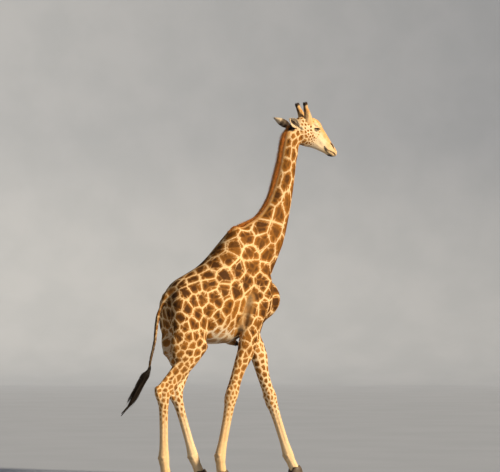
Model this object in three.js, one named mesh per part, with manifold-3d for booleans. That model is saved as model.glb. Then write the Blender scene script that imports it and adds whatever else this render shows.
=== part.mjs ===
// A life-size giraffe in mid-stride, as one still model.
// Millimetres. +X runs from tail to head, +Y is the animal's left, +Z is up, and the hooves stand on z = 0.
import * as THREE from 'three';
import { mergeVertices } from 'three/addons/utils/BufferGeometryUtils.js';
import Module from 'manifold-3d';

const wasm = await Module();
wasm.setup();

const GAP = 0.3; // left between any two pieces that meet
const FAR = 6000; // longer than the animal, for the cutting blocks
const ORIGIN_X = 24; // puts the middle of the bounding box over the origin
const RIGHT = -1;
const LEFT = 1;
const SIDE_NAMES = { [RIGHT]: 'right', [LEFT]: 'left' };

// ---------------------------------------------------------------- driving sizes

const WITHERS = 3000; // height of the hump over the shoulders
const RUMP = 2340; // height of the croup
const BELLY = 1590; // lowest line of the belly
const TRUNK_HALF_WIDTH = 325;
const SHOULDER_OUT = 200; // from the middle plane to the shoulder joint
const STIFLE_OUT = 235;
const KNEE_OUT = 175;
const HOOF_OUT = 150;
const HEAD_PITCH = THREE.MathUtils.degToRad(28); // the nose points down by this
const HEAD_BASE = [930, 4140]; // x and z of the middle of the skull's back
const HEAD_LENGTH = 672;
const EYE_RADIUS = 27;
const EYE_AT = { s: 205, h: 148, out: 86 }; // along the head, above its axis, out to the side
const EAR_CUP = 26; // how deep the leaf is hollowed
const EAR_HALF_THICKNESS = 7;
const EAR_TIPS = {
  [RIGHT]: new THREE.Vector3(742, -150, 4275),
  [LEFT]: new THREE.Vector3(785, 212, 4312),
};
const HOOF_HEIGHT = 128;
const CORONET_DROP = 38; // the leg goes on this far below the top of the hoof
const CLAW_APART = 36; // from the middle of a hoof to the middle of each claw
const KNEE_CUT_DROP = 95; // from the joint down to the cut across the leg
const HOCK_CUT_DROP = 130;

// Joints of each leg as [x, out from the middle plane, z]; right legs trail and left legs lead.
const FORE_JOINTS = {
  [RIGHT]: {
    shoulder: [330, SHOULDER_OUT, 2130], elbow: [108, 212, 1765], knee: [-127, KNEE_OUT, 1020],
    fetlock: [-276, HOOF_OUT, 285], hoof: [-243, HOOF_OUT, 0],
  },
  [LEFT]: {
    shoulder: [610, SHOULDER_OUT, 2140], elbow: [425, 212, 1690], knee: [690, KNEE_OUT, 965],
    fetlock: [948, HOOF_OUT, 262], hoof: [1052, HOOF_OUT, 0],
  },
};
const HIND_JOINTS = {
  [RIGHT]: {
    hip: [-800, 190, 2020], stifle: [-640, STIFLE_OUT, 1590], hock: [-1090, 172, 1030],
    fetlock: [-1068, HOOF_OUT, 290], hoof: [-1028, HOOF_OUT, 0],
  },
  [LEFT]: {
    hip: [-725, 190, 2020], stifle: [-430, STIFLE_OUT, 1640], hock: [-680, 172, 1015],
    fetlock: [-446, HOOF_OUT, 285], hoof: [-345, HOOF_OUT, 0],
  },
};

// ---------------------------------------------------------------- lofted bodies

// One section of a body: its centre, its reach to the front or top (fore), to the rear or
// underside (aft) and to each side. "along" turns the section away from the body's own line.
function section(x, y, z, fore, aft, side, along) {
  return { at: new THREE.Vector3(x, y, z), reach: new THREE.Vector3(fore, aft, side), along };
}

// A closed solid through the sections, smooth between them.
function loft(sections, { rings = 12, sides = 16, power = 2, along = null } = {}) {
  const path = new THREE.CatmullRomCurve3(sections.map((s) => s.at), false, 'catmullrom', 0.5);
  const reaches = new THREE.CatmullRomCurve3(sections.map((s) => s.reach), false, 'catmullrom', 0.5);
  const positions = [];
  const lateral = new THREE.Vector3();
  const front = new THREE.Vector3();
  for (let ring = 0; ring < rings; ring++) {
    const t = ring / (rings - 1);
    const centre = path.getPoint(t);
    const reach = reaches.getPoint(t);
    const heading = along ? new THREE.Vector3(...along) : path.getTangent(t);
    lateral.set(0, 1, 0).addScaledVector(heading, -heading.y).normalize();
    front.crossVectors(heading, lateral).normalize();
    for (let side = 0; side < sides; side++) {
      const angle = (side / sides) * 2 * Math.PI;
      const c = Math.cos(angle);
      const s = Math.sin(angle);
      const out = Math.sign(c) * Math.abs(c) ** (2 / power) * reach.z;
      const up = Math.sign(s) * Math.abs(s) ** (2 / power) * (s > 0 ? reach.x : reach.y);
      const point = centre.clone().addScaledVector(lateral, out).addScaledVector(front, up);
      positions.push(point.x, point.y, point.z);
    }
  }
  return closeRings(positions, rings, sides);
}

// Joins rings of points into a solid with a flat fan over each end.
function closeRings(positions, rings, sides) {
  const faces = [];
  for (let ring = 0; ring < rings - 1; ring++) {
    for (let side = 0; side < sides; side++) {
      const next = (side + 1) % sides;
      const a = ring * sides + side;
      const b = ring * sides + next;
      faces.push(a, b, b + sides, a, b + sides, a + sides);
    }
  }
  const lastRing = (rings - 1) * sides;
  for (let side = 1; side < sides - 1; side++) {
    faces.push(0, side + 1, side);
    faces.push(lastRing, lastRing + side, lastRing + side + 1);
  }
  return new wasm.Manifold(new wasm.Mesh({
    numProp: 3, vertProperties: new Float32Array(positions), triVerts: new Uint32Array(faces),
  }));
}

// A three.js geometry as a solid.
function solidOf(geometry) {
  const bare = geometry.clone();
  bare.deleteAttribute('normal');
  bare.deleteAttribute('uv');
  const merged = mergeVertices(bare);
  return new wasm.Manifold(new wasm.Mesh({
    numProp: 3,
    vertProperties: new Float32Array(merged.attributes.position.array),
    triVerts: new Uint32Array(merged.index.array),
  }));
}

function join(...solids) {
  return solids.reduce((whole, solid) => whole.add(solid));
}

// Everything on the side of a plane that its normal points to, moved along the normal by "shift".
function halfSpace({ point, normal }, shift) {
  const direction = new THREE.Vector3(...normal).normalize();
  const block = new THREE.BoxGeometry(FAR, FAR, FAR);
  block.translate(0, 0, FAR / 2 + shift);
  const turn = new THREE.Quaternion().setFromUnitVectors(new THREE.Vector3(0, 0, 1), direction);
  block.applyQuaternion(turn);
  block.translate(...point);
  return solidOf(block);
}

// Parts the flesh inside all the planes from the rest by a thin cut.
function partOff(flesh, planes) {
  const inside = planes.map((plane) => halfSpace(plane, GAP / 2));
  const grown = planes.map((plane) => halfSpace(plane, -GAP / 2));
  const piece = inside.reduce((kept, block) => kept.intersect(block), flesh);
  const zone = grown.reduce((kept, block) => kept.intersect(block));
  return [piece, flesh.subtract(zone)];
}

// Takes away what lies in the flesh, and lifts the piece just off it.
function seatOn(piece, flesh, direction) {
  const lift = new THREE.Vector3(...direction).normalize().multiplyScalar(GAP * 1.5);
  return piece.subtract(flesh).translate([lift.x, lift.y, lift.z]);
}

// ---------------------------------------------------------------- trunk

function trunkBarrel() {
  const w = TRUNK_HALF_WIDTH;
  const slice = (x, top, bottom, side) => {
    const middle = bottom + (top - bottom) * 0.46;
    return section(x, 0, middle, top - middle, middle - bottom, side);
  };
  return loft([
    slice(-935, 2180, BELLY + 350, 0.3 * w),
    slice(-870, 2260, BELLY + 210, 0.6 * w),
    slice(-780, RUMP + 5, BELLY + 115, 0.84 * w),
    slice(-620, 2425, BELLY + 45, 0.95 * w),
    slice(-430, 2530, BELLY + 8, w),
    slice(-260, 2680, BELLY - 2, w),
    slice(-80, 2880, BELLY + 12, 0.9 * w),
    slice(90, WITHERS + 8, 1660, 0.8 * w),
    slice(300, 2760, 1745, 0.72 * w),
    slice(450, 2480, 1850, 180),
    slice(545, 2280, 1960, 90),
  ], { rings: 19, sides: 18, along: [1, 0, 0] });
}

// The bulge of the breastbone between the shoulders.
function brisket() {
  return loft([
    section(540, 0, 2320, 50, 60, 60),
    section(565, 0, 2220, 80, 110, 130),
    section(575, 0, 2120, 88, 120, 150),
    section(540, 0, 2020, 78, 120, 140),
    section(450, 0, 1920, 60, 80, 90),
  ], { rings: 7, sides: 10 });
}

// The bull's sheath, a short cone that hangs from the belly and points forward.
function sheath() {
  return loft([
    section(-125, 0, 1650, 28, 28, 34),
    section(-50, 0, 1631, 38, 38, 38),
    section(12, 0, 1617, 36, 36, 35),
    section(66, 0, 1602, 28, 28, 28),
    section(98, 0, 1590, 10, 10, 10),
  ], { rings: 5, sides: 8 });
}

function shoulder(side) {
  const [x, out, z] = FORE_JOINTS[side].shoulder;
  const [elbowX, elbowOut, elbowZ] = FORE_JOINTS[side].elbow;
  const blade = loft([
    section(85, side * 60, WITHERS - 130, 90, 110, 40),
    section(0.25 * x + 90, side * 105, WITHERS - 300, 150, 190, 68),
    section(0.6 * x + 70, side * 140, WITHERS - 530, 170, 215, 84),
    section(0.92 * x + 20, side * (out - 28), z + 110, 145, 180, 92),
    section(x - 5, side * out, z - 20, 105, 130, 92),
    section(x - 60, side * out, z - 110, 60, 80, 60),
  ], { rings: 8, sides: 10 });
  const upperArm = loft([
    section(x, side * (out - 5), z + 70, 60, 70, 60),
    section(x - 15, side * (out + 2), z - 20, 100, 125, 88),
    section(0.5 * (x + elbowX), side * (out + 8), 0.5 * (z + elbowZ), 110, 190, 92),
    section(elbowX, side * elbowOut, elbowZ + 40, 130, 155, 86),
    section(elbowX - 5, side * elbowOut, elbowZ - 90, 80, 75, 58),
  ], { rings: 7, sides: 10 });
  return join(blade, upperArm);
}

const LEFT_HAMSTRING = 60; // how much farther back the left hamstring reaches, as that leg swings forward

function haunch(side) {
  const stretch = side === LEFT ? LEFT_HAMSTRING : 0;
  const [hipX, hipOut, hipZ] = HIND_JOINTS[side].hip;
  const [stifleX, stifleOut, stifleZ] = HIND_JOINTS[side].stifle;
  return loft([
    section(hipX + 80, side * (hipOut - 70), hipZ + 220, 110, 100, 50),
    section(hipX + 40, side * (hipOut - 25), hipZ + 110, 180, 165, 105),
    section(hipX, side * hipOut, hipZ - 60, 240, 215, 130),
    section(0.6 * hipX + 0.4 * stifleX - 15, side * (hipOut + 15), hipZ - 230, 255, 235, 128),
    section(0.3 * hipX + 0.7 * stifleX - 75, side * (stifleOut - 15), stifleZ + 50, 215, 255, 116),
    section(0.2 * hipX + 0.8 * stifleX - 120, side * (stifleOut - 22), stifleZ - 90,
      165, 235 + 0.4 * stretch, 96),
    section(stifleX - 165, side * (stifleOut - 30), stifleZ - 230, 90, 140 + stretch, 72),
    section(stifleX - 210, side * (stifleOut - 40), stifleZ - 330, 40, 70 + stretch, 45),
  ], { rings: 10, sides: 12 });
}

// Where the tail grows from the croup; the tail itself is a piece of its own.
const TAIL_START = { x: -978, z: 2070, fore: 34, aft: 38, side: 40 };

function tailRoot() {
  const { x, z, fore, aft, side } = TAIL_START;
  return loft([
    section(-840, 0, 2190, 60, 60, 80),
    section(-925, 0, 2140, 54, 60, 62),
    section(x, 0, z, fore, aft, side),
  ], { rings: 5, sides: 12 });
}

// ---------------------------------------------------------------- neck and head

function neckColumn() {
  return loft([
    section(250, 0, 2620, 300, 380, 190),
    section(375, 0, 2760, 325, 325, 185),
    section(510, 0, 2920, 250, 262, 160),
    section(618, 0, 3105, 192, 200, 134),
    section(705, 0, 3320, 155, 160, 114),
    section(770, 0, 3550, 131, 136, 101),
    section(815, 0, 3760, 117, 123, 93),
    section(853, 0, 3960, 112, 118, 88),
    section(905, 0, 4110, 110, 128, 84),
    section(985, 0, 4170, 90, 110, 70),
  ], { rings: 15, sides: 16 });
}

// A point given along the head's axis (s), above it (h) and out to the side.
function headPoint(s, h, out) {
  const c = Math.cos(HEAD_PITCH);
  const d = Math.sin(HEAD_PITCH);
  return [HEAD_BASE[0] + s * c + h * d, out, HEAD_BASE[1] - s * d + h * c];
}

function skull() {
  const slice = (s, top, bottom, side) => {
    const middle = bottom + (top - bottom) * 0.5;
    return section(...headPoint(s, middle, 0), top - middle, middle - bottom, side);
  };
  return loft([
    slice(-45, 152, -20, 50),
    slice(-10, 208, -75, 82),
    slice(60, 243, -98, 93),
    slice(130, 276, -102, 97),
    slice(200, 294, -84, 101),
    slice(265, 288, -58, 93),
    slice(330, 252, -36, 76),
    slice(400, 226, -20, 62),
    slice(470, 194, -6, 55),
    slice(540, 160, 4, 55),
    slice(600, 136, 8, 56),
    slice(640, 116, 26, 47),
    slice(HEAD_LENGTH, 84, 52, 20),
  ], { rings: 15, sides: 13, power: 2.2, along: [Math.cos(HEAD_PITCH), 0, -Math.sin(HEAD_PITCH)] });
}

// The ridge over each eye.
function brow(side) {
  return loft([
    section(...headPoint(140, 200, side * 62), 20, 20, 20),
    section(...headPoint(200, 196, side * 84), 26, 28, 26),
    section(...headPoint(265, 180, side * 66), 20, 20, 18),
  ], { rings: 5, sides: 8 });
}

// The ball of an eye; "grow" makes the room for it in the head.
function eyeBall(side, grow = 0) {
  const ball = new THREE.SphereGeometry(EYE_RADIUS + grow, 10, 6);
  ball.translate(...headPoint(EYE_AT.s, EYE_AT.h, side * EYE_AT.out));
  return solidOf(ball);
}

function ossicone(side) {
  return loft([
    section(1098, side * 54, 4262, 58, 56, 46),
    section(1086, side * 57, 4325, 49, 48, 41),
    section(1068, side * 62, 4375, 38, 38, 35),
    section(1050, side * 67, 4410, 30, 31, 29),
    section(1038, side * 73, 4440, 27, 28, 27),
    section(1031, side * 77, 4466, 29, 30, 29),
    section(1028, side * 78, 4484, 15, 15, 15),
  ], { rings: 9, sides: 9 });
}

// The leaf of an ear, hollowed on the side that it opens to.
function ear(side) {
  const base = new THREE.Vector3(955, side * 78, 4185);
  const tip = EAR_TIPS[side];
  const line = tip.clone().sub(base);
  const opening = new THREE.Vector3(0.35, side * 0.8, -0.35);
  opening.addScaledVector(line, -opening.dot(line) / line.lengthSq()).normalize();
  const across = new THREE.Vector3().crossVectors(opening, line).normalize();
  const leaf = [[0, 24], [0.18, 32], [0.4, 52], [0.62, 50], [0.84, 27], [1, 5]];
  const positions = [];
  const rings = 8;
  const points = 10;
  const widths = new THREE.SplineCurve(leaf.map(([t, width]) => new THREE.Vector2(t, width)));
  for (let ring = 0; ring < rings; ring++) {
    const { x: t, y: width } = widths.getPoint(ring / (rings - 1));
    const centre = base.clone().addScaledVector(line, t);
    for (let point = 0; point < points; point++) {
      const angle = (point / points) * 2 * Math.PI;
      const spread = Math.cos(angle) * width;
      const cup = EAR_CUP * (1 - (spread / width) ** 2) * Math.min(width / 45, 1);
      const depth = Math.sin(angle) * EAR_HALF_THICKNESS * Math.min(width / 20, 1) - cup;
      const at = centre.clone().addScaledVector(across, spread).addScaledVector(opening, depth);
      positions.push(at.x, at.y, at.z);
    }
  }
  return { leaf: closeRings(positions, rings, points), line };
}

function mane() {
  return loft([
    section(790, 0, 4120, 14, 20, 10),
    section(741, 0, 4058, 36, 60, 17),
    section(706, 0, 3900, 36, 60, 19),
    section(670, 0, 3743, 36, 60, 19),
    section(618, 0, 3584, 35, 60, 19),
    section(531, 0, 3324, 34, 60, 19),
    section(372, 0, 3108, 30, 60, 18),
    section(240, 0, 3040, 26, 50, 17),
    section(120, 0, 3000, 22, 40, 14),
    section(30, 0, 2958, 10, 30, 8),
  ], { rings: 12, sides: 8 });
}

// ---------------------------------------------------------------- legs

function between(from, to, t) {
  return from.map((value, axis) => value + (to[axis] - value) * t);
}

// Sections down a bone: each row gives how far down it lies, then its reach to front, rear and side.
function boneSections(side, from, to, rows) {
  return rows.map(([t, fore, aft, out, forward = 0]) => {
    const [x, y, z] = between(from, to, t);
    return section(x + forward, side * y, z, fore, aft, out);
  });
}

function foreLeg(side) {
  const { elbow, knee, fetlock, hoof } = FORE_JOINTS[side];
  const coronet = [hoof[0] - 12, hoof[1], HOOF_HEIGHT - CORONET_DROP];
  return loft([
    ...boneSections(side, elbow, knee, [
      [-0.1, 115, 105, 70], [0.12, 138, 118, 82], [0.34, 124, 108, 75, 24], [0.6, 82, 84, 63, 4],
      [0.82, 70, 74, 60], [0.94, 78, 76, 70],
    ]),
    ...boneSections(side, knee, fetlock, [
      [0.02, 80, 80, 72], [0.12, 66, 84, 64], [0.24, 56, 62, 55], [0.5, 50, 56, 50],
      [0.78, 50, 58, 50], [0.92, 58, 68, 56],
    ]),
    ...boneSections(side, fetlock, coronet, [
      [0.05, 62, 74, 60], [0.45, 50, 60, 54], [0.8, 54, 62, 62], [1, 50, 56, 56],
    ]),
  ], { rings: 22, sides: 10 });
}

function hindLeg(side) {
  const { stifle, hock, fetlock, hoof } = HIND_JOINTS[side];
  const coronet = [hoof[0] - 12, hoof[1], HOOF_HEIGHT - CORONET_DROP];
  const gaskinAndCannon = loft([
    ...boneSections(side, stifle, hock, [
      [-0.08, 110, 140, 90], [0.2, 122, 150, 92], [0.48, 104, 122, 74],
      [0.74, 84, 92, 60], [0.93, 76, 76, 62],
    ]),
    ...boneSections(side, hock, fetlock, [
      [0.06, 72, 74, 62], [0.16, 58, 66, 56], [0.3, 48, 56, 48], [0.55, 46, 52, 46],
      [0.8, 48, 54, 47], [0.93, 56, 66, 55],
    ]),
    ...boneSections(side, fetlock, coronet, [
      [0.05, 60, 72, 58], [0.45, 48, 58, 52], [0.8, 52, 60, 60], [1, 48, 54, 54],
    ]),
  ], { rings: 22, sides: 10 });
  // The heel tendon runs down to the point of the hock, behind the joint.
  const heelTendon = loft([
    ...boneSections(side, stifle, hock, [
      [0.3, 60, 60, 44, -70], [0.62, 58, 50, 32, -86], [0.85, 60, 42, 29, -98],
    ]),
    section(hock[0] - 102, side * hock[1], hock[2] + 42, 60, 30, 34),
    ...boneSections(side, hock, fetlock, [[0.055, 60, 26, 36, -71], [0.2, 42, 20, 30, -38]]),
  ], { rings: 8, sides: 8 });
  return join(gaskinAndCannon, heelTendon);
}

// One of the two claws of a hoof, pointed at the toe; "grow" makes the room for it in the leg.
function claw(side, hoof, inner, grow) {
  const y = side * hoof[1] + inner * CLAW_APART;
  const x = hoof[0];
  const crown = [-0.34, 0, -0.94]; // the hair line drops towards the heel
  const sole = grow > 0 ? -grow : 0;
  return loft([
    section(x - 10, y, HOOF_HEIGHT - 14 + grow, 58 + grow, 64 + grow, 32 + grow, crown),
    section(x - 4, y, 84, 80 + grow, 72 + grow, 35 + grow),
    section(x + 2, y, 34, 100 + grow, 82 + grow, 36.5 + grow),
    section(x + 5, y, sole, 110 + grow, 85 + grow, 37 + grow),
  ], { rings: 4, sides: 10, power: 2.3, along: [0, 0, -1] });
}

function hoofPair(side, hoof, grow = 0) {
  return join(claw(side, hoof, 1, grow), claw(side, hoof, -1, grow));
}

// ---------------------------------------------------------------- tail

function tailRod() {
  const { x, z, fore, aft, side } = TAIL_START;
  return loft([
    section(x + 8, 0, z + 10, fore - 2, aft - 2, side - 2),
    section(-1047, 0, 1940, 25, 27, 29),
    section(-1078, 3, 1765, 20, 21, 22),
    section(-1098, 6, 1600, 17, 18, 18),
    section(-1144, 12, 1430, 16, 16, 16),
    section(-1165, 18, 1296, 15, 15, 15),
  ], { rings: 10, sides: 8 });
}

function tailTuft() {
  return loft([
    section(-1169, 19, 1289, 15, 15, 15),
    section(-1204, 27, 1247, 42, 46, 36),
    section(-1234, 34, 1188, 38, 40, 34),
    section(-1282, 44, 1104, 30, 32, 28),
    section(-1366, 59, 960, 30, 32, 26),
    section(-1425, 69, 868, 15, 16, 14),
    section(-1505, 80, 785, 5, 5, 5),
  ], { rings: 9, sides: 8 });
}

// ---------------------------------------------------------------- flesh, parted into its named pieces

const HEAD_PLANE = { point: [985, 0, 3935], normal: [0.91, 0, 0.416] };
const NECK_PLANE = { point: [560, 0, 2350], normal: [0.875, 0, 0.484] };
const BREAST_PLANE = { point: [0, 0, 2342], normal: [0, 0, 1] };
// Planes behind each foreleg and ahead of each hind leg, so that the belly stays with the trunk.
const BEHIND_FORELEG = {
  [RIGHT]: { point: [-240, 0, 1037], normal: [1, 0, -0.3] },
  [LEFT]: { point: [230, 0, 1600], normal: [1, 0, 0] },
};
const AHEAD_OF_HINDLEG = {
  [RIGHT]: { point: [-440, 0, 1560], normal: [-1, 0, -0.25] },
  [LEFT]: { point: [-225, 0, 1560], normal: [-1, 0, -0.25] },
};
const FORE_CUT = { height: 1500, rise: 1.3 }; // the legs are cut along planes that rise outwards
const HIND_CUT = { height: 1500, rise: 1.35 };

function legPlanes(side, isFore) {
  const { height, rise } = isFore ? FORE_CUT : HIND_CUT;
  return [
    { point: [0, 0, height], normal: [0, side * rise, -1] },
    isFore ? BEHIND_FORELEG[side] : AHEAD_OF_HINDLEG[side],
    { point: [0, side, 0], normal: [0, side, 0] },
  ];
}

// The cut between the upper and the lower leg, square to the shin just below the joint.
function shinPlane(joint, fetlock, drop) {
  const down = new THREE.Vector3(fetlock[0] - joint[0], 0, fetlock[2] - joint[2]).normalize();
  return { point: [joint[0] + down.x * drop, 0, joint[2] + down.z * drop], normal: down.toArray() };
}

const pieces = {};

let flesh = join(
  trunkBarrel(), brisket(), sheath(), neckColumn(), skull(), tailRoot(), brow(RIGHT), brow(LEFT),
);
for (const side of [RIGHT, LEFT]) {
  flesh = join(flesh, shoulder(side), haunch(side), foreLeg(side), hindLeg(side));
}
const wholeFlesh = flesh;

let head;
[head, flesh] = partOff(flesh, [HEAD_PLANE]);
let neck;
[neck, flesh] = partOff(flesh, [NECK_PLANE, BREAST_PLANE]);
for (const side of [RIGHT, LEFT]) {
  const name = SIDE_NAMES[side];
  for (const isFore of [true, false]) {
    const joints = isFore ? FORE_JOINTS[side] : HIND_JOINTS[side];
    const legName = isFore ? 'foreleg' : 'hindleg';
    let leg;
    [leg, flesh] = partOff(flesh, legPlanes(side, isFore));
    leg = leg.subtract(hoofPair(side, joints.hoof, GAP * 1.5));
    const cut = isFore
      ? shinPlane(joints.knee, joints.fetlock, KNEE_CUT_DROP)
      : shinPlane(joints.hock, joints.fetlock, HOCK_CUT_DROP);
    const [lower, upper] = partOff(leg, [cut]);
    pieces[`${legName}_${name}_upper`] = upper;
    pieces[`${legName}_${name}_lower`] = lower;
    pieces[`${legName}_${name}_hoof`] = hoofPair(side, joints.hoof);
  }
  const { leaf, line } = ear(side);
  pieces[`ear_${name}`] = seatOn(leaf, wholeFlesh, line.toArray());
  pieces[`ossicone_${name}`] = seatOn(ossicone(side), wholeFlesh, [-0.2, 0, 1]);
  pieces[`eye_${name}`] = eyeBall(side);
  head = head.subtract(eyeBall(side, GAP * 2));
}
pieces.head = head;
pieces.neck = neck;
pieces.trunk = flesh;
pieces.mane = seatOn(mane(), wholeFlesh, [-0.8, 0, 0.6]);
pieces.tail = seatOn(tailRod(), wholeFlesh, [-0.6, 0, -0.8]);
pieces.tail_tuft = tailTuft();

// ---------------------------------------------------------------- materials and scene graph

const hide = new THREE.MeshStandardMaterial({ color: 0xb98a52, roughness: 0.85, metalness: 0 });
const darkHair = new THREE.MeshStandardMaterial({ color: 0x2a1c14, roughness: 0.7, metalness: 0 });
const maneHair = new THREE.MeshStandardMaterial({ color: 0x9c5a28, roughness: 0.8, metalness: 0 });
const horn = new THREE.MeshStandardMaterial({ color: 0x4a3a2c, roughness: 0.55, metalness: 0 });
const eyeGloss = new THREE.MeshStandardMaterial({ color: 0x120c08, roughness: 0.1, metalness: 0 });

function materialFor(name) {
  if (name.startsWith('eye')) return eyeGloss;
  if (name.endsWith('hoof')) return horn;
  if (name === 'tail_tuft' || name.startsWith('ossicone')) return darkHair;
  if (name === 'mane') return maneHair;
  return hide;
}

function meshFrom(solid, name) {
  const { vertProperties, triVerts } = solid.getMesh();
  const geometry = new THREE.BufferGeometry();
  geometry.setAttribute('position', new THREE.BufferAttribute(vertProperties, 3));
  geometry.setIndex(new THREE.BufferAttribute(triVerts, 1));
  geometry.computeVertexNormals();
  const mesh = new THREE.Mesh(geometry, materialFor(name));
  mesh.name = name;
  return mesh;
}

const giraffe = new THREE.Group();
giraffe.position.x = -ORIGIN_X;
for (const [name, solid] of Object.entries(pieces)) {
  giraffe.add(meshFrom(solid, name));
}

export default giraffe;
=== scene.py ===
"""Looks of the life-size giraffe model: hide, coat, mane, tail, eyes, horns, hooves and studio."""
import math

import bmesh
import bpy
import numpy as np
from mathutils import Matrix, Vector
from mathutils.kdtree import KDTree


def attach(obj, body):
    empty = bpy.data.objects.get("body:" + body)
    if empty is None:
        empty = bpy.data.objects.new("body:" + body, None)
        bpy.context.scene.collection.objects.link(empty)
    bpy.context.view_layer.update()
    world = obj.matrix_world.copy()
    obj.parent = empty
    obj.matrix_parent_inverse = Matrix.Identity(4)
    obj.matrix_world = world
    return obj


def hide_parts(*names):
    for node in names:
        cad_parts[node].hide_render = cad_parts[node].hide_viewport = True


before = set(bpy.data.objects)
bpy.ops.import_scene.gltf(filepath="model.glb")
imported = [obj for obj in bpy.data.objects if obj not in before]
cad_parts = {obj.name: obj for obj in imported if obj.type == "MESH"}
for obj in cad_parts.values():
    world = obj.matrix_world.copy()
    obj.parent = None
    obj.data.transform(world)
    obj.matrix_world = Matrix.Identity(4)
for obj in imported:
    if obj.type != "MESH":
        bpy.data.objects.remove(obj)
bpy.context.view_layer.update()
RNG = np.random.default_rng(20417)
SIDES = {"right": -1, "left": 1}


def unit(v):
    """Vectors along the last axis, each scaled to length one."""
    v = np.asarray(v, float)
    return v / np.maximum(np.linalg.norm(v, axis=-1, keepdims=True), 1e-9)


def ramp(x, start, end):
    """Smooth step from 0 at start to 1 at end; start may lie above end."""
    t = np.clip((np.asarray(x, float) - start) / (end - start), 0, 1)
    return t * t * (3 - 2 * t)


# ---------------------------------------------------------------- places on the animal

ORIGIN_X = 0.024


def at(x, y, z):
    """A place on the animal, with x measured from the middle of its trunk."""
    return np.array([x - ORIGIN_X, y, z])


HEAD_PITCH = math.radians(28)
HEAD_AXIS = np.array([math.cos(HEAD_PITCH), 0, -math.sin(HEAD_PITCH)])
HEAD_UP = np.array([math.sin(HEAD_PITCH), 0, math.cos(HEAD_PITCH)])
HEAD_BASE = at(0.930, 0, 4.140)
EYE_AT = (0.205, 0.148, 0.086)
EYE_RADIUS = 0.027


def on_head(s, h, out=0.0):
    """A place from its distance along the head's axis, above it and out to the left."""
    return HEAD_BASE + s * HEAD_AXIS + h * HEAD_UP + np.array([0, out, 0])


def head_coordinates(points):
    """How far places lie along the head's axis, above it and out to the left."""
    rel = points - HEAD_BASE
    return rel @ HEAD_AXIS, rel @ HEAD_UP, rel[:, 1]


SHOULDER_OUT = 0.200
STIFLE_OUT = 0.235
KNEE_OUT = 0.175
HOOF_OUT = 0.150
EAR_BASE_OUT = 0.078
EAR_TIPS = {"right": at(0.742, -0.150, 4.275), "left": at(0.785, 0.212, 4.312)}


def leg_joints(side, **places):
    """Joints of a leg as row-frame places, from x, distance out and height of each."""
    return {name: at(x, SIDES[side] * out, z) for name, (x, out, z) in places.items()}


LEGS = {
    "foreleg_right": leg_joints(
        "right", shoulder=(0.330, SHOULDER_OUT, 2.130), elbow=(0.108, 0.212, 1.765),
        knee=(-0.127, KNEE_OUT, 1.020), fetlock=(-0.276, HOOF_OUT, 0.285), hoof=(-0.243, HOOF_OUT, 0)),
    "foreleg_left": leg_joints(
        "left", shoulder=(0.610, SHOULDER_OUT, 2.140), elbow=(0.425, 0.212, 1.690),
        knee=(0.690, KNEE_OUT, 0.965), fetlock=(0.948, HOOF_OUT, 0.262), hoof=(1.052, HOOF_OUT, 0)),
    "hindleg_right": leg_joints(
        "right", hip=(-0.800, 0.190, 2.020), stifle=(-0.640, STIFLE_OUT, 1.590),
        hock=(-1.090, 0.172, 1.030), fetlock=(-1.068, HOOF_OUT, 0.290), hoof=(-1.028, HOOF_OUT, 0)),
    "hindleg_left": leg_joints(
        "left", hip=(-0.725, 0.190, 2.020), stifle=(-0.430, STIFLE_OUT, 1.640),
        hock=(-0.680, 0.172, 1.015), fetlock=(-0.446, HOOF_OUT, 0.285), hoof=(-0.345, HOOF_OUT, 0)),
}
FORELEGS = ("foreleg_right", "foreleg_left")
HINDLEGS = ("hindleg_right", "hindleg_left")
SIDE_OF = {leg: SIDES[leg.split("_")[1]] for leg in LEGS}


def on_leg(leg, upper, lower, t, ahead=0.0, out=0.0):
    """A place a share t down from one joint to the next, and ahead of and outside that line."""
    start, end = LEGS[leg][upper], LEGS[leg][lower]
    down = unit(end - start)
    forward = unit([-down[2], 0, down[0]])
    return start + (end - start) * t + forward * ahead + np.array([0, SIDE_OF[leg] * out, 0])


# ---------------------------------------------------------------- mesh helpers


def mesh_from(name, verts, *face_lists):
    """A smooth mesh from vertex rows and lists of faces; each list has one number of corners."""
    corners = np.concatenate([np.asarray(faces).ravel() for faces in face_lists])
    sizes = np.concatenate([np.full(len(faces), np.shape(faces)[1]) for faces in face_lists])
    mesh = bpy.data.meshes.new(name)
    mesh.vertices.add(len(verts))
    mesh.vertices.foreach_set("co", np.asarray(verts, np.float32).ravel())
    mesh.loops.add(len(corners))
    mesh.loops.foreach_set("vertex_index", corners.astype(np.int32))
    mesh.polygons.add(len(sizes))
    mesh.polygons.foreach_set("loop_start", (np.cumsum(sizes) - sizes).astype(np.int32))
    mesh.polygons.foreach_set("use_smooth", np.ones(len(sizes), bool))
    mesh.update(calc_edges=True)
    return mesh


def add_object(name, mesh):
    """A mesh as a new object in the scene."""
    obj = bpy.data.objects.new(name, mesh)
    bpy.context.collection.objects.link(obj)
    return obj


def read_rows(collection, field, width, kind=np.float32):
    """One field of a mesh's vertices, edges or loops as rows of numbers."""
    out = np.empty(len(collection) * width, kind)
    collection.foreach_get(field, out)
    return out.reshape(-1, width) if width > 1 else out


def positions(mesh):
    """The places of a mesh's vertices."""
    return read_rows(mesh.vertices, "co", 3).astype(float)


def normals(mesh):
    """The outward ways at a mesh's vertices."""
    return read_rows(mesh.vertices, "normal", 3).astype(float)


def edge_pairs(mesh):
    """The two vertices of each edge."""
    return read_rows(mesh.edges, "vertices", 2, np.int32)


def write_positions(mesh, co):
    """Moves a mesh's vertices to these places."""
    mesh.vertices.foreach_set("co", co.astype(np.float32).ravel())
    mesh.update()


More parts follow.
